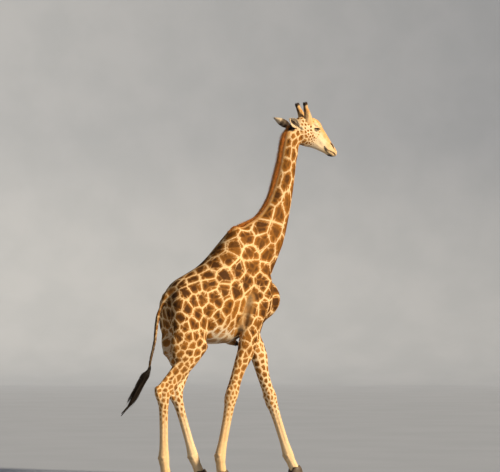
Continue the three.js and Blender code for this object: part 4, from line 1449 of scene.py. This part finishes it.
def make_floor():
    """A pale floor that sweeps up into a low round backdrop."""
    profile = [(FLOOR_RADIUS * 0.5, 0.0), (FLOOR_RADIUS, 0.0)]
    for step in range(1, SWEEP_STEPS + 1):
        angle = step / SWEEP_STEPS * math.pi / 2
        profile.append((FLOOR_RADIUS + SWEEP_RADIUS * math.sin(angle), SWEEP_RADIUS * (1 - math.cos(angle))))
    profile.append((FLOOR_RADIUS + SWEEP_RADIUS, SWEEP_RADIUS + SWEEP_HEIGHT))
    angle = np.linspace(0, 2 * math.pi, FLOOR_SIDES, endpoint=False)
    verts = [(r * math.cos(a), r * math.sin(a), z) for r, z in profile for a in angle]
    quads = ring_faces(len(profile), FLOOR_SIDES, closed_ends=False)
    mesh = mesh_from("studio floor", verts, quads)
    middle = bmesh.new()
    middle.from_mesh(mesh)
    middle.verts.ensure_lookup_table()
    middle.faces.new([middle.verts[k] for k in range(FLOOR_SIDES)])
    bmesh.ops.recalc_face_normals(middle, faces=middle.faces[:])
    middle.to_mesh(mesh)
    middle.free()
    floor = add_object("studio_floor", mesh)
    material, n, shader = new_material("pale floor", Roughness=0.9)
    place = n.add("ShaderNodeNewGeometry").outputs["Position"]
    grey = n.span(n.noise(place, 0.6, 3.0), 0.3, 0.7, 0.0, 1.0)
    n.put(shader.inputs["Base Color"], n.blend(grey, FLOOR_GREY, FLOOR_LIGHT_GREY))
    mesh.materials.append(material)


KEY_AZIMUTH = math.radians(22)  # from square to the animal's right side, towards its front
KEY_HEIGHT = math.radians(27)
KEY_STRENGTH = 5.6
KEY_SOFTNESS = math.radians(9)
KEY_COLOUR = (1.0, 0.81, 0.54)
FILL_COLOUR = colour(0.90, 0.92, 1.0)
FILL_STRENGTH = 0.17


def make_light():
    """A broad warm key from the animal's right front and a cool, even fill."""
    key = bpy.data.lights.new("key", "SUN")
    key.energy = KEY_STRENGTH
    key.angle = KEY_SOFTNESS
    key.color = KEY_COLOUR
    lamp = bpy.data.objects.new("key", key)
    bpy.context.collection.objects.link(lamp)
    source = way_towards(KEY_AZIMUTH - math.pi / 2, KEY_HEIGHT)
    lamp.rotation_euler = source.to_track_quat("Z", "Y").to_euler()
    world = bpy.data.worlds.new("studio")
    world.use_nodes = True
    background = world.node_tree.nodes["Background"]
    background.inputs["Color"].default_value = FILL_COLOUR
    background.inputs["Strength"].default_value = FILL_STRENGTH
    bpy.context.scene.world = world
    bpy.context.scene.view_settings.view_transform = "Standard"


# ---------------------------------------------------------------- pieces


def settle(obj, slot, material, *nodes):
    """Gives a piece its material and says what it rides on and what it replaces; slot is not used."""
    obj.data.materials.append(material)
    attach(obj, "root")
    if nodes:
        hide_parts(*nodes)


def finish_surface(obj, shade, comb):
    """Unwraps a surface and stores what its material reads."""
    unwrap(obj)
    for field, values in shade.items():
        set_attribute(obj.data, field, values)
    set_attribute(obj.data, "root", positions(obj.data))
    set_attribute(obj.data, "comb", comb)


# Coat pieces: the body lines they cover, hairs to the square metre, length, width and rise.
COAT_PIECES = {
    "coat_neck": (("neck",), 21000, 0.020, 0.0042, 0.12),
    "coat_trunk": (("trunk",), 15500, 0.024, 0.0050, 0.11),
    "coat_forelegs": (FORELEGS, 14000, 0.017, 0.0042, 0.13),
    "coat_hindlegs": (HINDLEGS, 12000, 0.019, 0.0046, 0.13),
    "coat_head": (("head",), 95000, 0.0085, 0.0020, 0.12),
    "coat_ears": (("ear_right", "ear_left"), 110000, 0.011, 0.0016, 0.20),
    "coat_tail": (("tail",), 60000, 0.020, 0.0026, 0.16),
}
MOST_TUFTS = 48000  # in one piece


BARE_REACH = 0.050  # how far from the eye's middle the slit and its line are kept bare


def lid_clearance(co):
    """0 inside the eyes' slits and on their rims, 1 away from them."""
    clear = np.ones(len(co))
    for side in SIDES.values():
        rel, outside, _, above, top, bottom = slit_place(co, side)
        inside = np.minimum(top - above, above - bottom)
        is_near = (np.linalg.norm(rel, axis=1) < BARE_REACH) & (outside > 0)
        clear = np.where(is_near, ramp(inside, -0.001, -0.004), clear)
    return clear


def inner_ear(co, normal):
    """1 on the hollow side of the ears."""
    share = np.zeros(len(co))
    for name, side in SIDES.items():
        _, _, opening, _ = ear_axes(name)
        share = np.maximum(share, ramp(normal @ opening, 0.1, 0.6) * (co[:, 1] * side > 0))
    return share


def make_coat(places, weights, material):
    """Short tufts that lie along the body, finest on the face and longer where the form breaks."""
    co, normal = places.co, places.normal
    height = co[:, 2]
    clear = lid_clearance(co) * ramp(height, 0.085, 0.12)
    fringe = inner_ear(co, normal)
    under = ramp(-normal[:, 2], 0.5, 0.95)
    names = list(BODY_LINES)
    owner = np.array([weights[name] for name in names]).argmax(axis=0)
    fetlocks = np.zeros(len(co))
    for leg in LEGS:
        gap = np.linalg.norm(co - LEGS[leg]["fetlock"], axis=1)
        fetlocks = np.maximum(fetlocks, ramp(gap, 0.13, 0.05) * ramp(-normal[:, 0], 0.0, 0.6))
    for name, (lines, density, length, width, rise) in COAT_PIECES.items():
        covered = np.isin(owner, [names.index(line) for line in lines])
        wanted = density * covered * clear
        longer = 1 + 0.5 * under + 0.8 * fetlocks
        shorter = np.zeros(len(co))
        if name.endswith("legs"):
            wanted = wanted * (1 + 1.2 * ramp(height, 1.1, 0.8))
            shorter = ramp(height, 1.3, 0.9)
        if name == "coat_ears":
            longer = 1 + 1.1 * fringe
        if name == "coat_head":
            longer = 0.7 + 0.9 * ramp(head_coordinates(co)[0], 0.16, -0.02)
        roots = places.pick(wanted, longer=longer, shorter=shorter)
        stretch = roots["longer"] * (1 - 0.32 * roots["shorter"])
        count = len(roots["co"])
        pieces = int(np.ceil(count / MOST_TUFTS))
        order = RNG.permutation(count)
        for piece, rows in enumerate(np.array_split(order, pieces)):
            label = name if pieces == 1 else f"{name}_{piece + 1}"
            own = stretch[rows]
            tufts = hair_mesh(label, chosen(roots, rows), length * own, width * own ** 0.5, rise,
                              curl=0.06, thickness=0.16, follow=0.8)
            settle(tufts, "hide", material)


MANE_REACH = [0.036, 0.038, 0.036, 0.036, 0.035, 0.034, 0.030, 0.026, 0.022, 0.010]
MANE_DENSITY = 270000
MANE_POINTS = 70  # along the smoothed line of the mane
MANE_HALF_WIDTH = 0.021
BLADE_WIDTH = 0.0026


def make_mane(places, material):
    """A stiff upright strip of hair down the back of the neck."""
    co = places.co
    line = smooth_line(MANE_LINE, MANE_POINTS)
    steps = np.linspace(0, len(MANE_REACH) - 1, MANE_POINTS)
    reaches = np.interp(steps, np.arange(len(MANE_REACH)), MANE_REACH)
    gap = along_line(co, line)[0]
    strip = ramp(np.abs(co[:, 1]), MANE_HALF_WIDTH, 0.014) * ramp(gap, 0.11, 0.09)
    strip = strip * (places.normal[:, 0] < 0.35)
    roots = places.pick(MANE_DENSITY * strip)
    place = roots["co"]
    _, knot, way = along_line(place, line)
    index = np.minimum(knot.astype(int), len(line) - 2)
    share = knot - index
    centre = line[index] + share[:, None] * (line[index + 1] - line[index])
    reach = np.interp(knot, np.arange(len(line)), reaches)
    outward = unit(np.stack([way[:, 2], 0 * share, -way[:, 0]], axis=1))
    rooted = ((place - centre) * outward).sum(axis=1)
    length = np.clip(reach - rooted, 0.02, 0.11) * 0.97
    roots["lie"] = unit(outward + 0.22 * way + RNG.normal(0, 0.05, way.shape) + place * [0, 4.0, 0])
    roots["normal"] = unit(-way + 0.2 * RNG.normal(0, 1, way.shape))
    roots["co"] = place - outward * 0.003
    blades = hair_mesh("mane_hair", roots, length / 1.1, BLADE_WIDTH, 0.0, curl=-0.10, joints=2, spread=0.14)
    settle(blades, "mane_hair", material, "mane")


TUFT_KNOTS = [at(-1.150, 0.016, 1.360), at(-1.169, 0.019, 1.289), at(-1.204, 0.027, 1.247),
              at(-1.234, 0.034, 1.188), at(-1.282, 0.044, 1.104), at(-1.366, 0.059, 0.960),
              at(-1.425, 0.069, 0.868), at(-1.505, 0.080, 0.785)]
TUFT_REACH = [0.011, 0.026, 0.047, 0.044, 0.033, 0.033, 0.018, 0.008]
TUFT_POINTS = 121  # along its smoothed line
TUFT_STRANDS = 2400
TUFT_LOCKS = 30
TUFT_JOINTS = 12
TUFT_STRAYS = 0.10  # share of the strands that stand out from their lock
STRAND_WIDTH = 0.0032
STRAND_WAVE = 0.0036  # how far each strand sways on its own
LOCK_WAVE = 0.0140  # and how far the strands of a lock sway together


def strand_rings(lines, widths):
    """Three-sided rings down each strand's line, ending in a point."""
    way = unit(np.gradient(lines, axis=1))
    side = unit(np.cross(way, RNG.normal(0, 1, (len(lines), 1, 3))))
    front = np.cross(way, side)
    rings = []
    for joint in range(lines.shape[1] - 1):
        reach = widths[:, joint, None] / 2
        for corner in range(3):
            angle = corner * 2 * math.pi / 3
            spoke = math.cos(angle) * side[:, joint] + math.sin(angle) * front[:, joint]
            rings.append(lines[:, joint] + reach * spoke)
    rings.append(lines[:, -1])
    return np.stack(rings, axis=1)


def make_tail_tuft(places, material):
    """Long black strands that hang in locks from the end of the tail."""
    lock = RNG.integers(0, TUFT_LOCKS, TUFT_STRANDS)
    start = RNG.uniform(0.0, 0.25, TUFT_STRANDS)
    end = np.clip(RNG.normal(0.72, 0.20, TUFT_LOCKS)[lock] + RNG.normal(0, 0.05, TUFT_STRANDS), 0.36, 1.0)
    steps = np.linspace(0, 1, TUFT_JOINTS + 1)
    t = start[:, None] + (end - start)[:, None] * steps
    fine = smooth_line(TUFT_KNOTS, TUFT_POINTS)
    spread = smooth_line(np.array(TUFT_REACH)[:, None], TUFT_POINTS)[:, 0]
    last = TUFT_POINTS - 1
    row = np.clip(t * last, 0, last - 0.001)
    low = row.astype(int)
    mix = (row - low)[..., None]
    centre = fine[low] * (1 - mix) + fine[low + 1] * mix
    reach = spread[low]
    own = [RNG.uniform(0, 2 * math.pi, TUFT_STRANDS), np.sqrt(RNG.uniform(0, 1, TUFT_STRANDS))]
    shared = [RNG.uniform(0, 2 * math.pi, TUFT_LOCKS)[lock], np.sqrt(RNG.uniform(0.1, 1, TUFT_LOCKS))[lock]]
    own, shared = [out[:, None, None] * np.stack([np.cos(angle), np.sin(angle)], axis=1)[:, None]
                   for angle, out in (own, shared)]
    gather = (0.92 * ramp(steps, 0.05, 0.70))[None, :, None]  # the strands close up into locks
    spot = own * (1 - gather) + (shared + 0.12 * own) * gather
    lines = centre.copy()
    stray = 1 + 0.3 * (RNG.random(TUFT_STRANDS) < TUFT_STRAYS)
    lines[..., :2] += spot * (stray[:, None] * reach * (0.5 + 0.5 * steps ** 0.25))[..., None]
    for axis in range(3):
        for count, rows, size in ((TUFT_STRANDS, slice(None), STRAND_WAVE), (TUFT_LOCKS, lock, LOCK_WAVE)):
            wave = np.sin(RNG.uniform(4, 9, (count, 1)) * steps + RNG.uniform(0, 6, (count, 1)))
            lines[..., axis] += size * wave[rows] * steps ** 0.7
    widths = np.broadcast_to(STRAND_WIDTH * (1 - 0.7 * steps ** 2), t.shape)
    rings = strand_rings(lines, widths)
    nearest = nearest_row(places.co, TUFT_KNOTS[1])
    roots = plain_roots(lines[:, 0], places, nearest)
    tuft = tuft_object("tail_tuft_hair", rings, roots, TUFT_JOINTS)
    settle(tuft, "dark_hair", material, "tail_tuft")


def nearest_row(co, target):
    """The vertex nearest to a place."""
    return int(((co - target) ** 2).sum(axis=1).argmin())


def plain_roots(place, places, row):
    """Roots that share one spot of the skin's unwrap and need no markings."""
    uv = places.uv[places.loops[np.flatnonzero((places.corners == row).any(axis=1))[0]][0]]
    return {"co": place, "uv": np.tile(uv, (len(place), 1)), "shade": {}}


LASHES = 80
LASH_LENGTH = 0.038
LASH_WIDTH = 0.0012
LASH_JOINTS = 4
LASH_LIFT = 0.0012  # from the slit's edge to the lashes' roots


def make_lashes(side, places, material):
    """Long lashes along the upper lid and shorter ones along the lower."""
    sign = SIDES[side]
    outward, slit, upward = eye_axes(sign)
    centre = eye_centre(sign)
    along = np.linspace(-0.92, 0.92, LASHES) * SLIT_HALF_LENGTH + RNG.normal(0, 0.0004, LASHES)
    steps = np.linspace(0, 1, LASH_JOINTS + 1)[:, None]
    lines = []
    for is_upper in (True, False):
        arc = np.maximum(1 - (along / SLIT_HALF_LENGTH) ** 2, 0)
        height = SLIT_TOP * arc ** 0.8 + LASH_LIFT if is_upper else -SLIT_BOTTOM * arc ** 0.9 - LASH_LIFT
        depth = np.sqrt((EYE_RADIUS + LID_THICKNESS) ** 2 - along ** 2 - height ** 2)
        root = centre + along[:, None] * slit + height[:, None] * upward + depth[:, None] * outward
        length = LASH_LENGTH * (1 if is_upper else 0.45) * RNG.uniform(0.8, 1.1, LASHES)
        fan = (along / SLIT_HALF_LENGTH)[:, None]
        reach = outward * 0.85 + slit * (0.40 * fan + 0.12) + upward * (-0.16 if is_upper else -0.50)
        bend = upward * (0.16 if is_upper else -0.2)
        curve = root[:, None] + length[:, None, None] * (steps * reach[:, None] + steps ** 2 * bend)
        lines.append(curve)
    lines = np.concatenate(lines)
    widths = np.broadcast_to(LASH_WIDTH * (1 - 0.75 * steps[:, 0]), lines.shape[:2])
    nearest = nearest_row(places.co, centre + outward * 0.03 + upward * 0.01)
    roots = plain_roots(lines[:, 0], places, nearest)
    lashes = tuft_object(f"lashes_{side}", strand_rings(lines, widths), roots, LASH_JOINTS)
    settle(lashes, "dark_hair", material)


OSSICONE_KNOTS = [  # x, out, z, reach ahead and to the side
    (1.100, 0.034, 4.165, 0.030, 0.028), (1.103, 0.045, 4.210, 0.050, 0.040),
    (1.098, 0.054, 4.262, 0.0550, 0.0440), (1.086, 0.057, 4.325, 0.0460, 0.0390),
    (1.068, 0.062, 4.375, 0.0360, 0.0335), (1.050, 0.067, 4.410, 0.0285, 0.0275),
    (1.038, 0.073, 4.440, 0.0255, 0.0255), (1.031, 0.077, 4.464, 0.0275, 0.0275),
    (1.029, 0.078, 4.4785, 0.0195, 0.0195), (1.028, 0.078, 4.4830, 0.0020, 0.0020),
]
OSSICONE_RINGS = 64
OSSICONE_SIDES = 40
OSSICONE_HAIR_DENSITY = 150000


def make_ossicone(side, surface_material, hair_material):
    """A hair-covered horn of bone: orange-tan at its foot, black and tufted at its blunt tip."""
    sign = SIDES[side]
    knots = [list(at(x, sign * out, z)) + [ahead, aside] for x, out, z, ahead, aside in OSSICONE_KNOTS]
    line = smooth_line(knots, OSSICONE_RINGS)
    centre, reaches = line[:, :3], line[:, 3:]
    way = unit(np.gradient(centre, axis=0))
    across = unit(np.cross(way, [0, 1, 0]))
    front = np.cross(way, across)
    verts, parts = loft(centre, reaches, across, front, OSSICONE_SIDES)
    t = np.repeat(np.linspace(0, 1, OSSICONE_RINGS), OSSICONE_SIDES)
    angle = np.tile(np.linspace(0, 2 * math.pi, OSSICONE_SIDES, endpoint=False), OSSICONE_RINGS)
    knobs = 0.0011 * np.sin(3 * angle + 9 * t) + 0.0008 * np.sin(7 * angle - 23 * t + 1.0)
    axis = np.repeat(centre, OSSICONE_SIDES, axis=0)
    verts = verts + unit(verts - axis) * (knobs * ramp(t, 1.0, 0.85))[:, None]
    mesh = mesh_from(f"ossicone_{side}_bone", verts, *parts)
    obj = add_object(mesh.name, mesh)
    # Painted shade: the rear side of each ossicone is darkened above its foot.
    rear = ramp(angle_to_rear(verts - axis), 0.25, 0.95)
    dark = np.clip(ramp(t, 0.70, 0.80) + 0.6 * rear * ramp(t, 0.35, 0.55), 0, 1)
    orange = (0.55 + 0.35 * ramp(t, 0.35, 0.55)) * ramp(t, 0.85, 0.60)
    plain = {"border": 0.0, "patch_tone": 0.5, "pale_line": 0.01, "notch": 0.2, "pale": 0.0, "strength": 0.0}
    shade = {field: np.full(len(t), value) for field, value in plain.items()}
    shade |= {"dark": dark, "orange": orange}
    finish_surface(obj, shade, verts * [1, 1, 0.15])
    settle(obj, "dark_hair", surface_material, f"ossicone_{side}")
    horn_places = SkinPlaces(mesh, shade, np.repeat(way, OSSICONE_SIDES, axis=0))
    covered = ramp(t, 0.25, 0.38) * ramp(t, 1.0, 0.95)
    roots = horn_places.pick(OSSICONE_HAIR_DENSITY * covered, height=t)
    length = 0.009 + 0.012 * ramp(roots["height"], 0.65, 0.9)
    tufts = hair_mesh(f"ossicone_{side}_hair", roots, length, 0.0019, 0.12,
                      curl=0.05, thickness=0.2, follow=0.6)
    settle(tufts, "dark_hair", hair_material)


def angle_to_rear(spokes):
    """How far each spoke points to the animal's rear, from -1 to 1."""
    return -unit(spokes)[:, 0]


IRIS_REACH = 0.0165
PUPIL_REACH = (0.0085, 0.0050)  # along the slit and across it
OUTSIDE = 9.0  # stands for any place on the ball's hidden half
CORNEA_BULGE = 0.0012
PUPIL_BLACK = colour(0.003, 0.003, 0.004)
IRIS_DARK = colour(0.030, 0.012, 0.005)
IRIS_BROWN = colour(0.085, 0.036, 0.012)
EYE_RIM = colour(0.045, 0.030, 0.024)


def make_eye(side):
    """A wet dark eyeball with a brown iris and a wide pupil."""
    sign = SIDES[side]
    outward, slit, upward = eye_axes(sign)
    ball = bmesh.new()
    bmesh.ops.create_uvsphere(ball, u_segments=64, v_segments=40, radius=EYE_RADIUS)
    mesh = bpy.data.meshes.new(f"eye_{side}_ball")
    ball.to_mesh(mesh)
    ball.free()
    co = positions(mesh)
    turned = co[:, :1] * slit + co[:, 1:2] * upward + co[:, 2:] * outward
    facing = co[:, 2] > 0
    away = np.hypot(co[:, 0], co[:, 1])
    cornea = CORNEA_BULGE * ramp(away, IRIS_REACH, 0.006) * facing
    write_positions(mesh, eye_centre(sign) + turned * (1 + cornea / EYE_RADIUS)[:, None])
    mesh.polygons.foreach_set("use_smooth", np.ones(len(mesh.polygons), bool))
    pupil = np.hypot(co[:, 0] / PUPIL_REACH[0], co[:, 1] / PUPIL_REACH[1])
    set_attribute(mesh, "iris", np.where(facing, away / IRIS_REACH, OUTSIDE))
    set_attribute(mesh, "pupil", np.where(facing, pupil, OUTSIDE))
    if np.dot(np.cross(slit, upward), outward) < 0:
        mesh.flip_normals()
    obj = add_object(mesh.name, mesh)
    material, n, shader = new_material(f"wet eye {side}", Coat_Weight=0.6, Coat_Roughness=0.06, IOR=1.38)
    fibres = n.noise(n.add("ShaderNodeNewGeometry").outputs["Position"], 500.0, 2.0)
    iris = n.blend(fibres, IRIS_DARK, IRIS_BROWN)
    around = n.blend(n.span(n.field("iris"), 0.9, 1.1), iris, EYE_RIM)
    n.put(shader.inputs["Base Color"], n.blend(n.span(n.field("pupil"), 0.8, 1.1), PUPIL_BLACK, around))
    n.put(shader.inputs["Roughness"], n.span(fibres, 0.2, 0.8, 0.10, 0.20))
    settle(obj, "eye", material, f"eye_{side}")


CLAW_APART = 0.0365
CLAW_TOP = 0.116
CLAW_SECTIONS = [  # height, how far ahead of the hoof's middle, reach to toe, heel and side
    (CLAW_TOP, -0.010, 0.052, 0.058, 0.029), (0.104, -0.007, 0.064, 0.064, 0.0325),
    (0.085, -0.004, 0.078, 0.071, 0.0345), (0.060, -0.001, 0.089, 0.077, 0.0355),
    (0.034, 0.002, 0.099, 0.081, 0.0362), (0.012, 0.004, 0.1065, 0.084, 0.0366),
    (0.0035, 0.005, 0.1085, 0.0845, 0.0362), (0.0, 0.005, 0.1060, 0.0820, 0.0340),
]
CLAW_RINGS = 44
CLAW_SIDES = 48
GROWTH_RING = 0.011  # from one growth ring to the next
GROWTH_RELIEF = 0.0006
TOE_IN = 0.010


def claw_form(leg, inner):
    """One claw as rings from the hair line down to a flat sole."""
    middle = LEGS[leg]["hoof"]
    rows = smooth_line(CLAW_SECTIONS, CLAW_RINGS)
    rows[-1, 0] = 0
    height, shift, toe, heel, half_width = (rows[:, k:k + 1] for k in range(5))
    angle = np.linspace(0, 2 * math.pi, CLAW_SIDES, endpoint=False)
    c, s = np.cos(angle), np.sin(angle)
    ahead = np.where(c > 0, toe, heel) * c * (1 - 0.06 * np.abs(s))
    narrowing = 1 - 0.42 * np.maximum(c, 0) ** 3
    aside = half_width * np.sign(s) * np.abs(s) ** 0.85 * narrowing
    toe_in = -inner * TOE_IN * np.maximum(c, 0) ** 2
    slope = 0.020 * c * ramp(height, 0.05, CLAW_TOP)
    ridges = GROWTH_RELIEF * np.sin(height * 2 * math.pi / GROWTH_RING) * ramp(height, 0.004, 0.02)
    x = middle[0] + shift + ahead * (1 + ridges / 0.08)
    y = middle[1] + inner * CLAW_APART + aside * (1 + ridges / 0.04) + toe_in
    z = np.maximum(height + slope, 0)
    return np.stack([x, y, z], axis=2).reshape(-1, 3)


def make_hoof(leg, material):
    """Two pointed claws with growth rings, flat underneath."""
    quads, triangles = ring_faces(CLAW_RINGS, CLAW_SIDES)
    second = CLAW_RINGS * CLAW_SIDES  # where the second claw's vertices start
    verts = np.concatenate([claw_form(leg, inner) for inner in (1, -1)])
    mesh = mesh_from(f"{leg}_claws", verts, quads, quads + second, triangles, triangles + second)
    fix = bmesh.new()
    fix.from_mesh(mesh)
    bmesh.ops.recalc_face_normals(fix, faces=fix.faces[:])
    fix.to_mesh(mesh)
    fix.free()
    for polygon in mesh.polygons:
        polygon.use_smooth = abs(polygon.normal.z) < 0.95
    settle(add_object(mesh.name, mesh), "hoof_horn", material, f"{leg}_hoof")


HORN_DARK = colour(0.055, 0.040, 0.030)
HORN_BROWN = colour(0.13, 0.095, 0.068)
DUST = colour(0.30, 0.23, 0.16)


def horn_material():
    """Dull dark horn with growth rings, dusty near the floor."""
    material, n, shader = new_material("hoof horn")
    place = n.add("ShaderNodeNewGeometry").outputs["Position"]
    flat = n.add("ShaderNodeVectorMath", operation="MULTIPLY")
    n.put(flat.inputs[0], place)
    n.put(flat.inputs[1], (1, 1, 9))
    rings = n.noise(flat.outputs[0], 22.0, 4.0, 0.6)
    height = n.add("ShaderNodeSeparateXYZ", {"Vector": place}).outputs["Z"]
    dusty = n.math("MULTIPLY_ADD", n.noise(place, 30.0, 3.0), 0.5, n.span(height, 0.05, 0.0, 0.0, 0.45))
    horn = n.blend(n.span(rings, 0.3, 0.7), HORN_DARK, HORN_BROWN)
    n.put(shader.inputs["Base Color"], n.blend(n.span(dusty, 0.25, 0.8), horn, DUST))
    n.put(shader.inputs["Roughness"], n.span(rings, 0.2, 0.8, 0.42, 0.66))
    bump = n.add("ShaderNodeBump", {"Strength": 0.5, "Distance": 0.002, "Height": rings})
    n.put(shader.inputs["Normal"], bump.outputs["Normal"])
    return material


DARK_ROOT = colour(0.010, 0.007, 0.005)
DARK_TIP = colour(0.026, 0.017, 0.012)
# The mane's orange is raised as painted light, for the glow of thin hair lit from behind.
MANE_ROOT = colour(0.46, 0.165, 0.030)
MANE_TIP = colour(0.84, 0.36, 0.085)


def plain_hair_material(name, root_colour, tip_colour):
    """Long hair that changes from root to tip and from strand to strand."""
    material, n, shader = new_material(name, Specular_IOR_Level=0.25)
    root = n.place()
    strand = n.noise(root, 400.0, 1.0)
    tip = n.math("MULTIPLY_ADD", n.math("SUBTRACT", strand, 0.5), 0.9, n.field("tip"))
    tint = n.blend(n.span(tip, 0.0, 0.9), root_colour, tip_colour)
    light = n.span(n.noise(root, 60.0), 0.3, 0.7, 0.75, 1.15)
    n.put(shader.inputs["Base Color"], lightened(n, tint, light))
    n.put(shader.inputs["Roughness"], n.span(strand, 0.3, 0.7, 0.45, 0.62))
    return material


# ---------------------------------------------------------------- building

make_camera()
make_floor()
make_light()

skin_mesh = shaped_skin()
shade, lie, comb, weights = paint_fields(skin_mesh)
skin = add_object("skin", skin_mesh)
finish_surface(skin, shade, comb)
colours = coat_colour_group()
grain = hair_grain_group()
hide = skin_material(colours, grain)
hair = coat_material(colours)
dark_hair = plain_hair_material("dark hair", DARK_ROOT, DARK_TIP)
mane_hair = plain_hair_material("mane hair", MANE_ROOT, MANE_TIP)
settle(skin, "hide", hide, "head", "neck", "trunk", "tail", "ear_right", "ear_left", *LEG_NODES)

places = SkinPlaces(skin_mesh, shade, lie)
make_coat(places, weights, hair)
make_mane(places, mane_hair)
make_tail_tuft(places, dark_hair)
horn = horn_material()
for side in SIDES:
    make_ossicone(side, hide, hair)
    make_eye(side)
    make_lashes(side, places, dark_hair)
for leg in LEGS:
    make_hoof(leg, horn)
